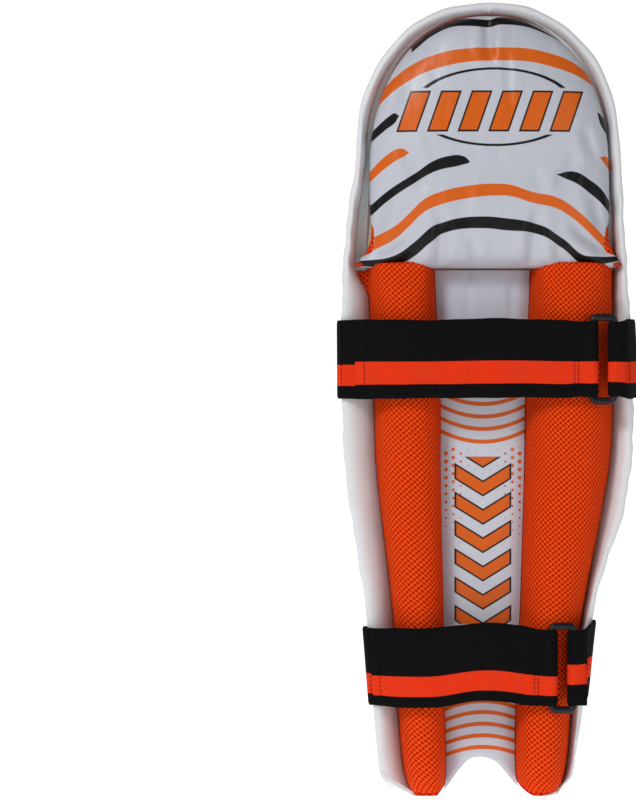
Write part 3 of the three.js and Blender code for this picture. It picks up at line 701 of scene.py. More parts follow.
def webbing_look(name, stripe):
    """Woven tape with an orange band between two distances from its middle."""
    look = Look(name)
    place = look.place()
    along, across, _ = look.parts(look.attribute("weave"))
    ragged = look.times(look.less(look.noise(look.joined(along, 0.0), 1.6, 2), 0.5), 0.9)
    lined = look.add(across, ragged)
    band = look.within(lined, stripe[0], stripe[1], 0.18)
    one = look.wave(look.add(along, across), 1.35)
    two = look.wave(look.less(along, across), 1.35)
    twill = look.times(one, two)
    ribs = look.wave(along, 0.9)
    # Painted shade in the twill's hollows and a painted highlight on its raised crossings, on the orange
    # band.
    orange = look.mix(look.step(twill, 0.35, 0.02), STRIPE_ORANGE, (0.62, 0.018, 0.003))
    orange = look.mix(look.step(twill, 0.45, 0.95), orange, (1.0, 0.11, 0.035))
    fleck = look.times(look.step(look.noise(place, 1.1, 3), 0.60, 0.75), 0.35)
    # Painted sheen: the black is lighter on the twill's raised crossings; the flecks are the yarn's own.
    black = look.mix(look.times(twill, 0.6), WEB_BLACK, (0.010, 0.010, 0.012))
    black = look.mix(fleck, black, (0.022, 0.021, 0.024))
    tone = look.mix(band, black, orange)
    height = look.add(look.times(twill, 0.7), look.times(ribs, 0.3), look.times(band, 0.25))
    normal = look.bump(height, 0.28, 0.8)
    rough = look.math("MULTIPLY_ADD", twill, -0.12, 0.80)
    return look.finish(tone, rough, normal, Specular_IOR_Level=0.06)


def plastic_look():
    """Black moulded plastic with fine scratches along the ring."""
    look = Look("ring_plastic")
    place = look.place()
    x, y, z = look.parts(place)
    scratch = look.noise(look.joined(x, y, look.times(z, 0.12)), 1.2, 4)
    tone = look.mix(look.times(look.step(scratch, 0.5, 0.8), 0.5), (0.006, 0.006, 0.009),
                    (0.020, 0.020, 0.027))
    normal = look.bump(look.noise(place, 0.7, 3), 0.05, 0.6)
    rough = look.math("MULTIPLY_ADD", scratch, 0.25, 0.22)
    return look.finish(tone, rough, normal, Specular_IOR_Level=0.3)


def fuzz_look(name, pitch, height):
    """The pile of hook or loop tape, in rows."""
    look = Look(name)
    place = look.place()
    along, across, _ = look.parts(look.attribute("weave"))
    rows = look.times(look.wave(along, pitch), look.wave(across, pitch * 1.1))
    fuzz = look.noise(place, 0.6, 4)
    # Painted highlight: the pile is lighter where its rows and fuzz stand higher, as the bump below raises
    # them.
    tone = look.mix(look.add(look.times(rows, 0.5), look.times(fuzz, 0.4)), (0.004, 0.004, 0.005),
                    (0.04, 0.04, 0.045))
    rough = look.math("MULTIPLY_ADD", fuzz, 0.2, 0.75)
    normal = look.bump(look.add(rows, fuzz), height, 0.9)
    return look.finish(tone, rough, normal, Specular_IOR_Level=0.1, Sheen_Weight=0.04)


def thread_look(name, colour):
    """Twisted thread."""
    look = Look(name)
    ply = look.wave(look.add(*look.parts(look.place())), 0.35)
    tone = look.mix(look.times(ply, 0.5), colour, tuple(0.4 * c for c in colour))
    rough = look.math("MULTIPLY_ADD", ply, -0.15, 0.62)
    return look.finish(tone, rough, look.bump(ply, 0.08, 0.7), Specular_IOR_Level=0.06)


def label_look():
    """A red patch with plain light bands."""
    look = Look("label_print")
    place = look.place()
    x, _, z = look.parts(place)
    red = look.mix(look.noise(place, 5, 2), (0.52, 0.008, 0.010), (0.60, 0.012, 0.016))
    bands = ((392.6, 393.6), (390.6, 391.3), (374.4, 375.0))
    lines = look.most(*[look.within(z, low, high, 0.12) for low, high in bands])
    tone = look.mix(lines, red, (0.72, 0.70, 0.70))
    weave = look.times(look.wave(x, 0.5), look.wave(z, 0.5))
    rough = look.math("MULTIPLY_ADD", weave, 0.1, 0.38)
    return look.finish(tone, rough, look.bump(weave, 0.05, 0.6))


def foam_look():
    """Cream foam with small cells."""
    look = Look("inner_foam")
    place = look.place()
    made = look.node("ShaderNodeTexVoronoi")
    look.put(made.inputs["Vector"], place)
    look.put(made.inputs["Scale"], 0.9)
    cells = made.outputs["Distance"]
    # Painted shade: darker in the middle of each cell, where the bump below sinks it into a pore.
    tone = look.mix(cells, (0.55, 0.50, 0.33), (0.80, 0.77, 0.60))
    return look.finish(tone, look.math("MULTIPLY_ADD", cells, 0.1, 0.85), look.bump(cells, 0.4, 0.7))


# ---------------------------------------------------------------------------------- pieces

def dress(piece, material, slot, body, *nodes):
    """Gives a piece its material and its body, and names the CAD nodes it replaces; its slot is not used."""
    piece.data.materials.clear()
    piece.data.materials.append(material)
    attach(piece, body)
    if nodes:
        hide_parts(*nodes)
    return piece


def slot_cutter():
    """One block for each opening that a strap passes through."""
    points, faces = [], []
    for strap in STRAPS:
        for x in strap["slots"]:
            base = len(points)
            for z in (strap["z"] - STRAP_HALF - 1, strap["z"] + STRAP_HALF + 1):
                points += [(x + dx, y, z) for dx, y in ((-3.5, -70), (3.5, -70), (3.5, -5), (-3.5, -5))]
            quads = [(0, 3, 2, 1), (4, 5, 6, 7), (0, 1, 5, 4), (1, 2, 6, 5), (2, 3, 7, 6), (3, 0, 4, 7)]
            faces += [tuple(base + i for i in q) for q in quads]
    return make("slot_cutter", points, faces)


def rim_wave(points):
    """Slight unevenness of the hand-finished rim, out from the middle of the pad."""
    x, y, z = points.T
    out = np.stack([x, 0 * x, np.maximum(z - ARC_BASE, 0)], -1)
    out /= np.maximum(np.linalg.norm(out, axis=1, keepdims=True), 1e-6)
    along = np.arctan2(z - 300, x) * 260
    size = 0.35 * np.sin(along / 11.0) + 0.25 * np.sin(along / 4.6 + 1.0) - 0.35
    near = smooth(np.abs(x) / np.maximum(outline(np.sign(x), z), 1), 0.82, 0.97)
    near = np.maximum(near, smooth(z, TOP - 12, TOP - 3)) * smooth(z, 12, 40) * smooth(y, -18, -6)
    return out * (size * near)[:, None]


def shell():
    """Struck face, rolled rim, inner wall and end wall as one closed skin."""
    count, arc = 190, 26  # columns across a face, and round one side of the rim
    u = np.sin(np.linspace(np.pi / 2, -np.pi / 2, count))
    u = 0.55 * u + 0.45 * np.linspace(1, -1, count)
    heights = np.concatenate([np.linspace(0, 60, 26), np.linspace(62.5, SHIN_TOP - 8, 96),
                              np.linspace(SHIN_TOP - 6, DOME_BASE + 8, 82)])
    last = DOME_BASE + 9.5
    heights = np.concatenate([heights, last + (TOP - last) * np.sin(np.linspace(0, np.pi / 2, 54)) ** 0.98])

    def lower_end(inner):
        """The height at which each column meets the lower edge, found by halving."""
        low, high = np.zeros(count), np.full(count, 40.0)
        for _ in range(40):
            middle = (low + high) / 2
            reach = foot(u, middle) if inner else outline(u, middle)
            over = middle > bottom_edge(u * reach)
            low, high = np.where(over, low, middle), np.where(over, middle, high)
        return high + (END_WALL if inner else 0.0)

    def surface(inset):
        """The struck face or, with an inset, the wall inside the rim."""
        inner = inset > 0
        z = heights[:, None] * (TOP - inset) / TOP
        z = z + lower_end(inner)[None, :] * np.clip(1 - z / END_REACH, 0, 1)
        side = u[None, :] + 0 * z
        x = u[None, :] * (foot(side, z) if inner else outline(side, z))
        if not inner:
            return x, shell_front(x, z), z
        floor = LINING_BACK * depth(z, inset) * (1 - 0.25 * smooth(z, 380, 440))
        y = np.minimum(bow(x, z, RIM, WALL), floor)
        edge = y[:, [0, -1]]
        low = smooth(z[:, [0, -1]], 400, 372)
        y[:, [0, -1]] = edge + (np.maximum(edge, LINING_BACK) + SLOPE_FOOT - edge) * low
        return x, y, z

    ox, oy, oz = surface(0.0)
    above = np.clip((oz - oz[:1]) / LOWER_ROUNDING, 0, 1)
    oy = oy + np.minimum(LOWER_ROUNDING, 0.6 * np.abs(oy)) * (1 - np.sqrt(1 - (1 - above) ** 2))
    outer, inner = np.stack([ox, oy, oz], -1), np.stack(surface(RIM), -1)

    def lip(column):
        """The rolled rim: up from the struck face to its crest, and down to the wall inside."""
        s = np.linspace(0, 1, arc + 2)[None, 1:-1] ** 1.5
        start, end = outer[:, column], inner[:, column]
        wide = np.linalg.norm((end - start)[:, [0, 2]], axis=1)[:, None]
        inward = s * wide
        crest = np.minimum(4.0, 0.42 * wide)
        down = np.clip((inward - crest) / np.maximum(wide - crest, 1e-6), 0, 1)
        y = np.where(inward < crest, LIP * np.sqrt(np.maximum(1 - (1 - inward / crest) ** 2, 0)),
                     LIP + (end[:, None, 1] - LIP) * down**1.7)
        line = start[:, None] * (1 - s[..., None]) + end[:, None] * s[..., None]
        line[..., 1] = y
        return line

    rows = np.concatenate([outer, lip(count - 1), inner[:, ::-1], lip(0)[:, ::-1]], 1)
    points, faces = section_grid(rows, cap_ends=False)
    number = np.arange(len(points)).reshape(rows.shape[:2])

    # The end wall: from the inner row to the lining's back, down by its thickness, and out.
    first = inner[0, ::-1]
    flat = np.stack([first[:, 0], np.maximum(first[:, 1], LINING_BACK), first[:, 2]], -1)
    drop = flat - [0, 0, END_WALL]
    inner_row = number[0, count + arc:2 * count + arc]
    flat_row = np.arange(count) + len(points)
    drop_row = flat_row + count
    points = np.concatenate([points, flat, drop])
    outer_row = number[0, :count][::-1]
    faces += strip(flat_row, inner_row) + strip(drop_row, flat_row) + strip(outer_row, drop_row)
    faces.append([*number[0, count - 1:count + arc + 1], flat_row[0], drop_row[0]])
    faces.append([*number[0, 2 * count + arc - 1:], number[0, 0], drop_row[-1], flat_row[-1]])
    piece = tidy_mesh(make("moulded_shell", points + rim_wave(points), faces), 0.02)
    cutter = slot_cutter()
    cut = piece.modifiers.new("slots", "BOOLEAN")
    cut.object, cut.operation, cut.solver = cutter, "DIFFERENCE", "EXACT"
    apply_modifiers(piece)
    bpy.data.objects.remove(cutter)
    soften(piece, 50)
    dress(piece, shell_look(), "shell_foam_skin", "root", "front_shell")


def cushion_blank(inset):
    """The cushion's shape before it is puffed: domed at the top, full sides and a rounded foot."""
    narrow, wide = through(CUSHION_NARROW), through(CUSHION_WIDE)
    low, high = CUSHION_BASE + inset, CUSHION_TOP - inset
    heights = np.concatenate([low + CUSHION_FOOT * (1 - np.cos(np.linspace(0, np.pi / 2, 12))),
                              np.linspace(402, 448, 12),
                              452 + (high - 452.2) * np.sin(np.linspace(0.05, np.pi / 2, 26))])
    steps, back = np.sin(np.pi / 2 * np.linspace(1, -1, 41)), np.linspace(-1, 1, 12)
    rings = []
    for z in heights:
        climb = max(z - CUSHION_SHOULDER, 0) / (high - CUSHION_SHOULDER)
        dome = max(1 - climb**ARC_POWER, 0) ** (1 / ARC_POWER)
        full = 0.3 + 0.7 * math.sqrt(1 - (1 - min((z - low) / CUSHION_FOOT, 1)) ** 2)
        rise = CUSHION_SIDE + (CUSHION_CROWN - inset) * max(dome, 0.02) ** 0.7 * full
        x = steps * dome * (np.where(steps > 0, narrow(z), wide(z)) - inset)
        face = CUSHION_SIDE - inset + (rise - CUSHION_SIDE) * (1 - np.abs(steps) ** 3) ** 0.6
        back_x = back * dome * (np.where(back > 0, narrow(z), wide(z)) - inset)
        rings.append([(a, b, z) for a, b in zip(x, face)] +
                     [(a, BED + inset * 0.3, z) for a in back_x])
    return section_grid(rings)


def seam_height(points):
    """Height above the bed at which the printed face is sewn to the mesh gusset."""
    side = smooth(np.abs(points[:, 0]), 76, 84)
    corner = side * smooth(points[:, 2], 410, 393) * smooth(points[:, 2], 379, 387)
    tucked = side * smooth(points[:, 2], 400, 425)
    return 0.6 + 11 * corner - 7 * tucked


def creased(points):
    """Soft creases in the face, and corners pinched where it is tacked down."""
    x, y, z = points.T
    raised = smooth(y, 4, 14)
    sink = np.zeros(len(x))
    for start, end, deep, wide in CREASES:
        (x0, z0), (x1, z1) = start, end
        length = math.hypot(x1 - x0, z1 - z0)
        run = ((x - x0) * (x1 - x0) + (z - z0) * (z1 - z0)) / length**2
        aside = ((x - x0) * (z1 - z0) - (z - z0) * (x1 - x0)) / length / wide
        inside = smooth(run, -0.12, 0.15) * smooth(run, 1.15, 0.7)
        sink += deep * np.exp(-aside**2) * inside
        for shift in (-1.9, 1.9):
            sink -= 0.35 * deep * np.exp(-(aside - shift) ** 2) * inside
    rows = 0.7 * np.sin((z - 372) / 9.0 + x / 38) * smooth(z, 372, 400) * smooth(z, 470, 430)
    return points - np.stack([0 * x, (sink + rows) * raised, 0 * x], -1)


def closed_runs(following):
    """The closed runs in a map from each point to the next, longest first."""
    runs = []
    while following:
        run, at = [], next(iter(following))
        while at in following:
            run.append(at)
            at = following.pop(at)
        runs.append(run)
    return sorted(runs, key=len, reverse=True)


def cushion():
    """The stuffed knee cushion: mesh body, printed face sewn on above the seam, and the seam."""
    body = tidy_mesh(make("knee_cushion_pillow", *cushion_blank(CUSHION_INSET)))
    puffed(body, 4.5, 8.0, lambda p: p[:, 1] < 0.5, 4.5)
    subdivided(body)
    points = creased(points_of(body))
    points[:, 1] = np.maximum(points[:, 1], BED)
    limit = [outline(side, points[:, 2], RIM + 0.3) for side in (1, -1)]
    low_part = points[:, 1] < 3.0
    points[:, 0] = np.where(low_part, np.clip(points[:, 0], -limit[1], limit[0]), points[:, 0])
    move_points(body, points)

    keep = points[:, 1] > seam_height(points) - 1.2
    kept = [tuple(p.vertices) for p in body.data.polygons if all(keep[i] for i in p.vertices)]
    used = sorted({i for p in kept for i in p})
    renumber = {old: new for new, old in enumerate(used)}
    face_points = points[used].copy()
    face_faces = [tuple(renumber[i] for i in p) for p in kept]
    edges = {}
    for polygon in face_faces:
        for a, b in zip(polygon, polygon[1:] + polygon[:1]):
            edges.setdefault((min(a, b), max(a, b)), []).append((a, b))
    seams = closed_runs({a: b for pairs in edges.values() if len(pairs) == 1 for a, b in pairs})
    for loop in seams:
        line = face_points[loop]
        line[:, 1] = seam_height(line)
        for _ in range(8):
            line = (np.roll(line, 1, 0) + 2 * line + np.roll(line, -1, 0)) / 4
        face_points[loop] = line
    face = make("knee_cushion_cover", face_points, face_faces)
    thick = face.modifiers.new("thickness", "SOLIDIFY")
    thick.thickness, thick.offset = 0.9 * MM, 0.2
    apply_modifiers(face)
    soften(face, 60)
    dress(face, print_look(), "printed_sheet", "root", "knee_cushion_face")

    normals = np.array([v.normal for v in body.data.vertices])
    move_points(body, points - normals * 0.9)
    x, y, z = points_of(body).T
    set_attribute(body, "weave", np.stack([x * 0.6 + y, z + 0.4 * y, 0 * x], -1))
    soften(body, 60)
    dress(body, mesh_look("gusset_mesh"), "air_mesh", "root", "knee_cushion_gusset", "knee_cushion_foam")

    line = face_points[seams[0]]
    cordage = tube("knee_cushion_seam", line + np.array([0, -0.3, 0]), 0.55, closed=True)
    dress(cordage, thread_look("seam_thread", (0.62, 0.62, 0.66)), "thread", "root")


def tube(name, line, radius, closed=False, sides=8):
    """A round thread or bar along a line of points."""
    line = np.asarray(line, float)
    ahead = np.roll(line, -1, 0) - np.roll(line, 1, 0)
    if not closed:
        ahead[0], ahead[-1] = line[1] - line[0], line[-1] - line[-2]
    ahead /= np.maximum(np.linalg.norm(ahead, axis=1, keepdims=True), 1e-9)
    side = np.cross(ahead, [0.3, 0.9, 0.31])
    side /= np.linalg.norm(side, axis=1, keepdims=True)
    up = np.cross(side, ahead)
    radius = np.broadcast_to(np.asarray(radius, float), (len(line),))[:, None, None]
    angle = np.linspace(0, 2 * np.pi, sides, endpoint=False)[None, :, None]
    rings = line[:, None] + radius * (np.cos(angle) * side[:, None] + np.sin(angle) * up[:, None])
    points, faces = section_grid(rings, cap_ends=not closed)
    if closed:
        number = np.arange(len(line) * sides).reshape(len(line), sides)
        faces += strip(number[-1], number[0], closed=True)
    return tidy_mesh(make(name, points, faces, 60), 0.001)


def bolster(name, shape, *nodes):
    """A long stuffed tube of mesh, pressed flat where a strap crosses it."""
    inner, outer = through(shape["inner"]), through(shape["outer"])
    low = BOLSTER_FLOOR + BOLSTER_INSET
    heights = np.concatenate([low + BOLSTER_TIP * (1 - np.cos(np.linspace(0, np.pi / 2, 16))),
                              np.linspace(low + BOLSTER_TIP + 4, CUSHION_BASE + 4, 60)])

    def section(z):
        centre, half = (inner(z) + outer(z)) / 2, np.abs(outer(z) - inner(z)) / 2
        tip = np.minimum((z - BOLSTER_FLOOR) / BOLSTER_TIP, 1)
        full = 0.45 + 0.55 * np.sqrt(np.maximum(1 - (1 - tip) ** 2, 0))
        return centre, half, BOLSTER_HEIGHT * full

    angle = np.linspace(0, np.pi, 25)
    cosine, sine = np.cos(angle), np.sin(angle)
    rings = []
    for z in heights:
        centre, half, rise = section(z)
        x = centre + (half - BOLSTER_INSET) * np.sign(cosine) * np.abs(cosine) ** 0.9
        y = BED + (rise - BOLSTER_INSET) * sine**0.9
        rings.append([(a, b, z) for a, b in zip(x, y)])
    piece = tidy_mesh(make(name, *section_grid(rings)))
    points = points_of(piece)
    points[:, 2] = np.maximum(points[:, 2], bottom_edge(points[:, 0]) + 2.5)
    move_points(piece, points)
    puffed(piece, 4.0, 4.5, lambda p: p[:, 1] < BED + 3.0, 4.0)
    subdivided(piece)
    points = points_of(piece)
    x, y, z = points.T
    centre, half, _ = section(z)
    for strap in STRAPS:
        press = smooth(np.abs(z - strap["z"]), STRAP_HALF + 9, STRAP_HALF - 2)
        level = 19.6 + 1.0 * np.cos((x - centre) / np.maximum(half, 1) * 1.5)
        y = y - press * np.maximum(y - level, 0)
    y = np.minimum(y, 24.0)
    side = np.sign(centre)
    room = np.minimum(foot(side, z) + 1.6 + 0.5 * (y - BED),
                      outline(side, z) - 3.0 + 0.5 * np.maximum(y, 0))
    x = np.where(x * side > room, room * side, x)
    under = smooth(z, CUSHION_BASE - 18, CUSHION_BASE - 2)
    y = y - under * np.maximum(y - 12.0, 0) * 0.5
    y = y + 0.5 * np.sin(z / 17.0 + centre) * smooth(y, 0, 15)
    move_points(piece, np.stack([x, y, z], -1))
    turn = np.arctan2(y - BED, (x - centre) * 0.75)
    length = (half + BOLSTER_HEIGHT) * 0.82
    set_attribute(piece, "weave", np.stack([turn * length, z, 0 * turn], -1))
    soften(piece, 70)
    dress(piece, mesh_look(name + "_mesh"), "air_mesh", "root", *nodes)


def centre_panel():
    """The printed strip between the bolsters, slightly crowned and tucked in at its sides."""
    left, right = through(WIDE_BOLSTER["inner"]), through(NARROW_BOLSTER["inner"])
    across = np.linspace(0, 1, 40)
    crown = 1 - np.abs(2 * across - 1) ** 3.0
    rows = []
    for share in np.linspace(0, 1, 150):
        height = share * BOLSTER_TOP
        low = bottom_edge(left(height) + (right(height) - left(height)) * across) + 0.6
        z = low + (SHEET_TOP - low) * share
        a, b = left(z) - 1.2, right(z) + 1.2
        x = a + (b - a) * across
        y = PANEL_FACE - 2.6 + 4.4 * crown
        y += 0.5 * np.sin(z / 23.0) * crown
        for fold in (14, -16):
            y -= 1.4 * np.exp(-((x - fold) / 3.0) ** 2) * smooth(z, 325, 350)
        y = np.where(z - low < 3, y - 1.6 * (1 - (z - low) / 3) ** 2, y)
        rows.append(np.stack([x, y, z], -1))
    face = np.array(rows)
    back = face.copy()
    back[..., 1] = BED
    piece = tidy_mesh(make("printed_panel", *slab(face, back)))
    soften(piece, 50)
    dress(piece, panel_look(), "printed_sheet", "root", "centre_panel")


def back_lining():
    """A sheet of the same mesh across the cavity, behind the bolsters."""
    across, up = np.linspace(-1, 1, 60), np.linspace(0, 1, 110)
    rows = []
    for share in up:
        z = np.full(len(across), share * SHEET_TOP)
        for _ in range(12):
            x = across * (foot(across, z) + 0.8)
            low = bottom_edge(x) + 0.4
            z = low + (SHEET_TOP - low) * share
        y = -13.6 + 0.35 * np.sin(x / 6.0) * np.sin(z / 6.0)
        rows.append(np.stack([x, y, z], -1))
    points = np.concatenate(rows)
    number = np.arange(len(points)).reshape(len(up), len(across))
    faces = [f for k in range(len(up) - 1) for f in strip(number[k], number[k + 1])]
    piece = make("lining_sheet", points, faces, weave=points[:, [0, 2, 1]])
    thick = piece.modifiers.new("thickness", "SOLIDIFY")
    thick.thickness, thick.offset = 0.8 * MM, 0.0
    apply_modifiers(piece)
    soften(piece, 60)
    dress(piece, mesh_look("lining_mesh"), "air_mesh", "root", "back_lining")
    return piece


# ---------------------------------------------------------------------------------- straps

def bend(a, b, c, steps):
    """Points on the curve from a to c that is drawn towards b."""
    steps = np.asarray(steps, float)[:, None]
    a, b, c = (np.array(p, float) for p in (a, b, c))
    return (1 - steps) ** 2 * a + 2 * steps * (1 - steps) * b + steps**2 * c


def wing_line(side, slot, z):
    """From inside the shell, out through a slot and round the wing to the rim."""
    edge = float(side * outline(side, z))

    def outside(x):
        return x, float(bow(np.array(x), np.array(z))) - LIE * min(abs(x / edge), 1) ** 2

    def inside(x):
        return x, float(bow(np.array(x), np.array(z), RIM, WALL)) + LIE

    start, last = slot + side * 6, edge - side * 2
    along = [outside(start + (last - start) * math.sin(math.pi / 2 * t)) for t in np.linspace(0, 1, 14)]
    return [*(inside(slot - side * back) for back in (12, 7, 2.6)), outside(slot + side * 1.2),
            *along, (edge + side * LIE, -4), (edge + side * LIE, -1)]


def shoulder(edge, strap):
    """Three points that bend the tape from the rim in to the leg side."""
    return [(edge + LIE, 2), (edge - 20, TAB_Y + 1), (strap["tab_end"] + 8, TAB_Y)]


def smoothed(line, rounds=3):
    """A line with its corners cut."""
    line = np.asarray(line, float)
    for _ in range(rounds):
        cut = np.empty((2 * len(line) - 2, 2))
        cut[0::2] = 0.75 * line[:-1] + 0.25 * line[1:]
        cut[1::2] = 0.25 * line[:-1] + 0.75 * line[1:]
        line = np.concatenate([line[:1], cut, line[-1:]])
    return line


def spaced(line, count):
    """Points at even steps along a line, and its length."""
    run = np.concatenate([[0], np.cumsum(np.linalg.norm(np.diff(line, axis=0), axis=1))])
    want = np.linspace(0, run[-1], count)
    return np.stack([np.interp(want, run, line[:, k]) for k in (0, 1)], -1), run[-1]


def round_bar(bar, first, last):
    """Tape round a ring's bar, between two angles in degrees."""
    return [(bar + LOOP_RADIUS * math.cos(a), BAR_Y + LOOP_RADIUS * math.sin(a))
            for a in np.radians(np.linspace(first, last, 15))]


def tab_line(strap, side):
    """The short tape of one wing: to the closing's end, or to the ring and round its outer bar."""
    def line(z):
        edge = float(side * outline(side, z))
        wing = wing_line(side, strap["slots"][0 if side > 0 else 1], z)
        if side > 0:
            return [*wing, *bend(*shoulder(edge, strap), np.linspace(0, 1, 12)), (strap["tab_end"], TAB_Y)]
        bar = strap["bar"] - BAR_SPACING
        knee = [(edge - LIE, 2), (edge + 5, BAR_Y - 4), (bar - 7.5, BAR_Y + 1.0)]
        return [*wing, *bend(*knee, np.linspace(0, 1, 8)), *round_bar(bar, 118, -118),
                (bar - 6.5, BAR_Y - 1.6), (bar - 9.5, BAR_Y - 2.6)]
    return line


def over_tab(strap, lift, start):
    """A line lifted off the narrow side's tape, from a share of its bend to its end."""
    def line(z):
        steps = [start - 0.01, *np.linspace(start, 1, 12), 1.01]
        path = bend(*shoulder(float(outline(1, z)), strap), steps)
        run = path[2:] - path[:-2]
        away = np.stack([run[:, 1], -run[:, 0]], -1) / np.linalg.norm(run, axis=1, keepdims=True)
        return [*(path[1:-1] + lift * away), (strap["tab_end"] + 2, TAB_Y + lift)]
    return line


def strap_line(strap):
    """The long tape: from the closing, across the leg side and round the ring's inner bar."""
    tail = over_tab(strap, STRAP_Y - TAB_Y, strap["start"])
    bar = strap["bar"]

    def line(z):
        return [*tail(z), (bar + 60, STRAP_Y), (bar + 30, STRAP_Y), (bar + 16, STRAP_Y - 0.4),
                (bar + 8, BAR_Y + 1.5), *round_bar(bar, 62, 298), (bar + 6.5, BAR_Y - 1.4),
                (bar + 16, BAR_Y - 0.4), (bar + 22, BAR_Y + 0.2)]
    return line


# A tape as made: the object, its lines of (x, y) at each level, their normals, the distance along,
# its middle's height and its half-width.
Tape = namedtuple("Tape", "piece paths normal run centre half")


def tape(name, line_at, centre, half, thickness, rows=22, narrow=None, wander=0.35, drift=None):
    """Flat tape along a line that changes with height, with soft edges and its weave coordinates.

    It narrows to fit a ring over the last stretch, whose length is narrow. It wanders a little at
    its edges, and drift gives how far the whole tape rises at a share of its length.
    """
    even = np.linspace(-1, 1, rows)
    levels = half * np.sin(np.pi / 2 * even) * 0.35 + half * even * 0.65
    _, length = spaced(smoothed(line_at(centre)), 3)
    count = max(int(length / TAPE_PACE), 8)
    paths = np.array([spaced(smoothed(line_at(centre + level)), count)[0] for level in levels])
    ahead = np.gradient(paths, axis=1)
    ahead /= np.maximum(np.linalg.norm(ahead, axis=2, keepdims=True), 1e-9)
    normal = np.stack([-ahead[..., 1], ahead[..., 0]], -1)
    run = np.linspace(0, length, count)
    tight = np.ones(count)
    if narrow:
        tight = 1 - (1 - LOOP_HALF / half) * smooth(run, length - narrow - 12, length - narrow)
    waver = wander * (np.sin(run / 13.0 + centre) + 0.5 * np.sin(run / 5.3 + 2 * centre))
    past = np.maximum(np.abs(levels) - (half - thickness / 2), 0) / (thickness / 2)
    swell = thickness / 2 * np.sqrt(np.maximum(1 - past**2, 0.02))
    shift = drift(run / length) if drift else 0 * run
    points, weave = [], []
    for i in range(count):
        for sign, order in ((1, range(rows)), (-1, range(rows - 1, -1, -1))):
            for r in order:
                flat = paths[r, i] + normal[r, i] * sign * swell[r]
                ripple = waver[i] * (levels[r] / half) ** 2 * np.sign(levels[r])
                points.append((flat[0], flat[1], centre + levels[r] * tight[i] + ripple + shift[i]))
                weave.append((run[i], levels[r], sign))
    solid, faces = section_grid(np.array(points).reshape(count, 2 * rows, 3), cap_ends=False)
    for base, flip in ((0, False), ((count - 1) * 2 * rows, True)):
        for r in range(rows - 1):
            quad = (base + r, base + r + 1, base + 2 * rows - 2 - r, base + 2 * rows - 1 - r)
            faces.append(quad[::-1] if flip else quad)
    piece = tidy_mesh(make(name, solid, faces, 60, weave=weave), 0)
    return Tape(piece, paths, normal, run, centre, half)


def stitches(name, rows, body):
    """Short threads lying on the tape. Each row is (points, outward directions)."""
    points, faces = [], []
    for line, outward in rows:
        for k in range(len(line) - 1):
            a, b = np.array(line[k]), np.array(line[k + 1])
            start, end = a + (b - a) * 0.14, a + (b - a) * 0.86
            out = np.array(outward[k], float)
            side = np.cross(end - start, out)
            side /= max(np.linalg.norm(side), 1e-9)
            rings = []
            for share, lift, radius in STITCH:
                middle = start + (end - start) * share + out * lift
                rings.append([middle + radius * (math.cos(t) * side + math.sin(t) * out)
                              for t in np.linspace(0, 2 * np.pi, 6, endpoint=False)])
            new_points, new_faces = section_grid(rings)
            faces += [tuple(len(points) + i for i in f) for f in new_faces]
            points += new_points.tolist()
    piece = tidy_mesh(make(name, points, faces, 60), 0)
    dress(piece, thread_look(name + "_look", THREAD_BLACK), "thread", body)


def run_near(band, x, lowest=-np.inf, highest=np.inf):
    """How far along its middle a tape passes an X, between two depths."""
    middle = band.paths[len(band.paths) // 2]
    beyond = (middle[:, 1] <= lowest) | (middle[:, 1] >= highest)
    return band.run[int(np.argmin(np.abs(middle[:, 0] - x) + 99 * beyond))]


def stitch_row(band, at, side):
    """Stitches across a tape at a distance along it: their places and outward directions."""
    last = len(band.paths) - 1
    i = int(np.clip(np.searchsorted(band.run, at), 1, len(band.run) - 2))
    line, out = [], []
    for level in STITCH_LEVELS:
        r = int(np.clip(round((level / band.half + 1) / 2 * last), 0, last))
        flat = band.paths[r, i] + band.normal[r, i] * side * (WEBBING / 2)
        line.append((flat[0], flat[1], band.centre + level))
        out.append((band.normal[r, i][0] * side, band.normal[r, i][1] * side, 0))
    return line, out


def ring(strap):
    """A moulded loop: two bars joined by rounded ends."""
    inner, outer = strap["bar"], strap["bar"] - BAR_SPACING
    corners = [(inner, 1, 0), (outer, 1, 90), (outer, -1, 180), (inner, -1, 270)]
    line = []
    for x, up, turn in corners:
        cx = x - RING_CORNER if x == inner else x + RING_CORNER
        cz = up * (RING_HALF - RING_CORNER)
        for angle in np.radians(np.linspace(turn, turn + 90, 9)):
            line.append((cx + RING_CORNER * math.cos(angle), BAR_Y,
                         strap["z"] + cz + RING_CORNER * math.sin(angle)))
    dense = []
    for a, b in zip(line, line[1:] + line[:1]):
        steps = max(int(math.dist(a, b) / 1.6), 1)
        dense += [np.array(a) + (np.array(b) - np.array(a)) * k / steps for k in range(steps)]
    dense = np.array(dense)
    on_cap = smooth(np.abs(dense[:, 2] - strap["z"]), RING_HALF - 4.5, RING_HALF - 1.0)
    thick = BAR_RADIUS - 0.05 + 0.15 * on_cap
    piece = tube(f"{strap['name']}_ring_loop", dense, thick, closed=True, sides=16)
    dress(piece, RING_PLASTIC, "ring_plastic", f"{strap['name']}_ring", f"{strap['name']}_ring")


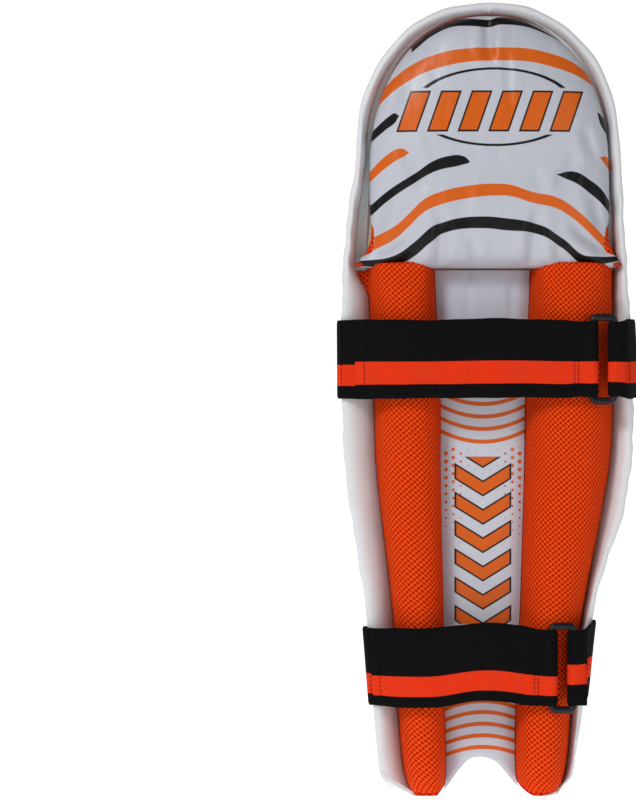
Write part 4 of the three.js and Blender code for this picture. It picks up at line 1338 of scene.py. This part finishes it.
def tab(strap, side):
    """The short tape of one wing and its rows of stitches."""
    part = f"{strap['name']}_tab_{'narrow' if side > 0 else 'wide'}"

    def drift(share):
        return strap["rise"] * smooth(share, 0.22, 0.45) * smooth(share, 0.80, 0.55)

    ringed = {} if side > 0 else {"narrow": 24, "drift": drift}
    band = tape(f"{part}_webbing", tab_line(strap, side), strap["z"], STRAP_HALF, WEBBING, **ringed)
    stripe = strap["tab_stripe" if side > 0 else "end_stripe"]
    dress(band.piece, webbing_look(f"{part}_webbing", stripe), "webbing", "root", part)
    out_side = 1 if band.normal[len(band.paths) // 2][5][1] < 0 else -1
    end = band.run[-1] * 0.55 if side > 0 else run_near(band, strap["bar"] - BAR_SPACING - 10, lowest=12)
    at_slot = run_near(band, strap["slots"][0 if side > 0 else 1] + side * 9, highest=-10)
    return [stitch_row(band, at, out_side) for at in (end, at_slot)]


def strap_set(strap):
    """Both short tapes, the long tape, their stitches, the ring and the hook and loop."""
    name = strap["name"]
    on_tabs = tab(strap, 1) + tab(strap, -1)

    def drift(share):
        return strap["rise"] * np.sin(np.pi * np.clip((share - 0.24) / 0.56, 0, 1)) ** 2

    band = tape(f"{name}_strap_webbing", strap_line(strap), strap["z"], STRAP_HALF, WEBBING,
                narrow=42, drift=drift)
    look = webbing_look(f"{name}_strap_webbing", strap["stripe"])
    dress(band.piece, look, "webbing", f"{name}_strap", f"{name}_strap")
    out_side = 1 if band.normal[len(band.paths) // 2][len(band.run) // 3][1] > 0 else -1
    places = [7.0] + [run_near(band, strap["bar"] + back, lowest=BAR_Y + 0.8) for back in (9.5, 12.5)]
    on_strap = [stitch_row(band, at, out_side) for at in places]
    stitches(f"{name}_tab_stitching", on_tabs, "root")
    stitches(f"{name}_strap_stitching", on_strap, f"{name}_strap")
    ring(strap)

    lift = (WEBBING + PATCH) / 2 + GAP
    for kind, rise, body, look in (("loop_patch", lift, "root", LOOP_LOOK),
                                   ("hook_patch", lift + PATCH + GAP, f"{name}_strap", HOOK_LOOK)):
        path = over_tab(strap, rise, strap["start"] + 0.05)
        pile = tape(f"{name}_{kind}_pile", path, strap["z"], PATCH_HALF, PATCH, rows=30, wander=0.1)
        dress(pile.piece, look, "hook_and_loop", body, f"{name}_{kind}")


def label():
    """A small patch bonded to the lowest roll: plain bands, with no lettering."""
    x, z = np.meshgrid(np.linspace(*LABEL_X, 24), np.linspace(*LABEL_Z, 30))
    face_y = shell_front(x, z)
    edge = np.minimum(np.minimum(x - LABEL_X[0], LABEL_X[1] - x), np.minimum(z - LABEL_Z[0], LABEL_Z[1] - z))
    raised = LABEL_LIFT + LABEL_THICK * np.clip(edge / 0.8, 0, 1) ** 0.5
    sides = slab(np.stack([x, face_y - raised, z], -1), np.stack([x, face_y - 0.15, z], -1))
    piece = tidy_mesh(make("size_patch", *sides, 50), 0)
    dress(piece, label_look(), "label_print", "root", "size_label")


def tack(name, centre_x):
    """A knot of thread that ties the cushion's corner down: seven turns and nine loose ends."""
    rng = np.random.default_rng(3 if centre_x > 0 else 4)
    turns, per_turn, depth_y, height = 7, 14, 5.2, CUSHION_BASE + 3
    t = np.linspace(0, turns * 2 * np.pi, turns * per_turn)
    fat = 1.25 * np.sin(np.pi * np.clip(t / t[-1], 0.08, 0.92)) ** 0.5
    along = centre_x - 2.8 + 5.6 * t / t[-1]
    wrap = np.stack([along, depth_y + fat * np.cos(t), height + fat * np.sin(t)], -1)
    pieces = [tube(name + "_thread", wrap, 0.52, sides=7)]
    s = np.linspace(0, 1, 8)[:, None]
    for k in range(9):
        start = np.array([centre_x + rng.uniform(-3, 3), depth_y, height])
        way = np.array([rng.uniform(-0.6, 0.6), rng.uniform(0.1, 0.5), rng.uniform(-1, 1)])
        line = start + way * 3.4 * s + np.array([0.8, 0, 0.5]) * np.sin(3 * s) * rng.uniform(-1, 1)
        pieces.append(tube(f"{name}_end_{k}", line, 0.22 - 0.1 * s[:, 0], sides=6))
    bpy.ops.object.select_all(action="DESELECT")
    for piece in pieces:
        piece.select_set(True)
    bpy.context.view_layer.objects.active = pieces[0]
    bpy.ops.object.join()
    dress(pieces[0], TACK_THREAD, "thread", "root", name)


# ----------------------------------------------------------------------- scene and lighting

# Metres: the floor's radius, the rounding up to the wall and the wall's height. The floor glows
# between the two strengths, most in a strip behind the pad.
FLOOR_RADIUS, COVE, WALL_TOP, FLOOR_DROP = 4.6, 1.6, 4.0, 0.6
FLOOR_GLOW, SKY = (0.06, 0.80), 0.20
# Name, place, size and power.
LIGHTS = [("key_light", (1.5, 2.0, 1.7), 0.8, 34.0), ("fill_light", (-1.6, 2.2, 0.5), 1.2, 8.0),
          ("front_light", (2.1, -1.8, 0.7), 0.7, 15.0)]
SCALE_MM = 0.7035  # what one picture element covers in the plane of the rim
FRAME_TALL, SENSOR = 800, 36.0
CAMERA_BACK, CAMERA_X, CAMERA_Z = 3.0, 0.1203, 0.2800


def studio():
    """A round pale floor that curves up into a pale wall, with soft light from every side."""
    profile = [(FLOOR_RADIUS, 0.0)]
    profile += [(FLOOR_RADIUS + COVE * math.sin(a), COVE - COVE * math.cos(a))
                for a in np.linspace(0.1, math.pi / 2, 12)]
    profile += [(FLOOR_RADIUS + COVE, WALL_TOP)]
    sides = 72
    points = [(0, 0, -FLOOR_DROP)]
    for radius, height in profile:
        points += [(radius * 1000 * math.cos(a), radius * 1000 * math.sin(a), height * 1000 - FLOOR_DROP)
                   for a in np.linspace(0, 2 * np.pi, sides, endpoint=False)]
    faces = [(0, 1 + i, 1 + (i + 1) % sides) for i in range(sides)]
    for low in range(1, len(points) - sides, sides):
        faces += strip(range(low, low + sides), range(low + sides, low + 2 * sides), closed=True)
    floor = make("floor", points, faces, 80)
    look = Look("pale_floor", (0.82, 0.82, 0.82), 0.9)
    wide, deep, _ = look.parts(look.place())
    aside = look.step(look.math("ABSOLUTE", wide), 1700, 800)
    lit = look.times(look.step(deep, 2600, -600), aside)
    glow = look.math("MULTIPLY_ADD", lit, FLOOR_GLOW[1] - FLOOR_GLOW[0], FLOOR_GLOW[0])
    look.put(look.shader.inputs["Emission Strength"], glow)
    look.finish(Emission_Color=(1, 1, 1, 1))
    floor.data.materials.append(look.material)

    world = bpy.data.worlds.new("pale_sky")
    bpy.context.scene.world = world
    world.use_nodes = True
    sky = world.node_tree.nodes["Background"]
    sky.inputs[0].default_value, sky.inputs[1].default_value = (1, 1, 1, 1), SKY

    for name, place, size, power in LIGHTS:
        data = bpy.data.lights.new(name, "AREA")
        data.shape, data.size, data.energy = "DISK", size, power
        lamp = bpy.data.objects.new(name, data)
        lamp.location = place
        lamp.rotation_mode = "QUATERNION"
        lamp.rotation_quaternion = (Vector((0, 0, 0.3)) - Vector(place)).to_track_quat("-Z", "Y")
        bpy.context.scene.collection.objects.link(lamp)


def camera():
    """Straight on to the leg side, with the pad to the right of the picture as in the photo."""
    data = bpy.data.cameras.new("camera")
    data.sensor_width = SENSOR
    data.lens = SENSOR * CAMERA_BACK / (FRAME_TALL * SCALE_MM * MM)
    made = bpy.data.objects.new("camera", data)
    made.location = (CAMERA_X, CAMERA_BACK, CAMERA_Z)
    made.rotation_mode = "QUATERNION"
    made.rotation_quaternion = Vector((0, -1, 0)).to_track_quat("-Z", "Y")
    bpy.context.scene.collection.objects.link(made)
    bpy.context.scene.camera = made
    bpy.context.scene.view_settings.view_transform = "Standard"


RING_PLASTIC = plastic_look()
LOOP_LOOK = fuzz_look("loop_side", 1.1, 0.5)
HOOK_LOOK = fuzz_look("hook_side", 1.6, 0.9)
TACK_THREAD = thread_look("tack_thread", (0.55, 0.06, 0.015))

camera()
studio()
foam = foam_look()
for node in ("shin_core", "knee_core", "dome_core"):
    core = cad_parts[node].data
    core.materials.clear()
    core.materials.append(foam)
shell()
cushion()
bolster("bolster_narrow", NARROW_BOLSTER, "bolster_cover_narrow", "bolster_foam_narrow")
bolster("bolster_wide", WIDE_BOLSTER, "bolster_cover_wide", "bolster_foam_wide")
centre_panel()
lining = back_lining()
for strap in STRAPS:
    strap_set(strap)
label()
tack("corner_tack_narrow", 92.0)
tack("corner_tack_wide", -90.0)
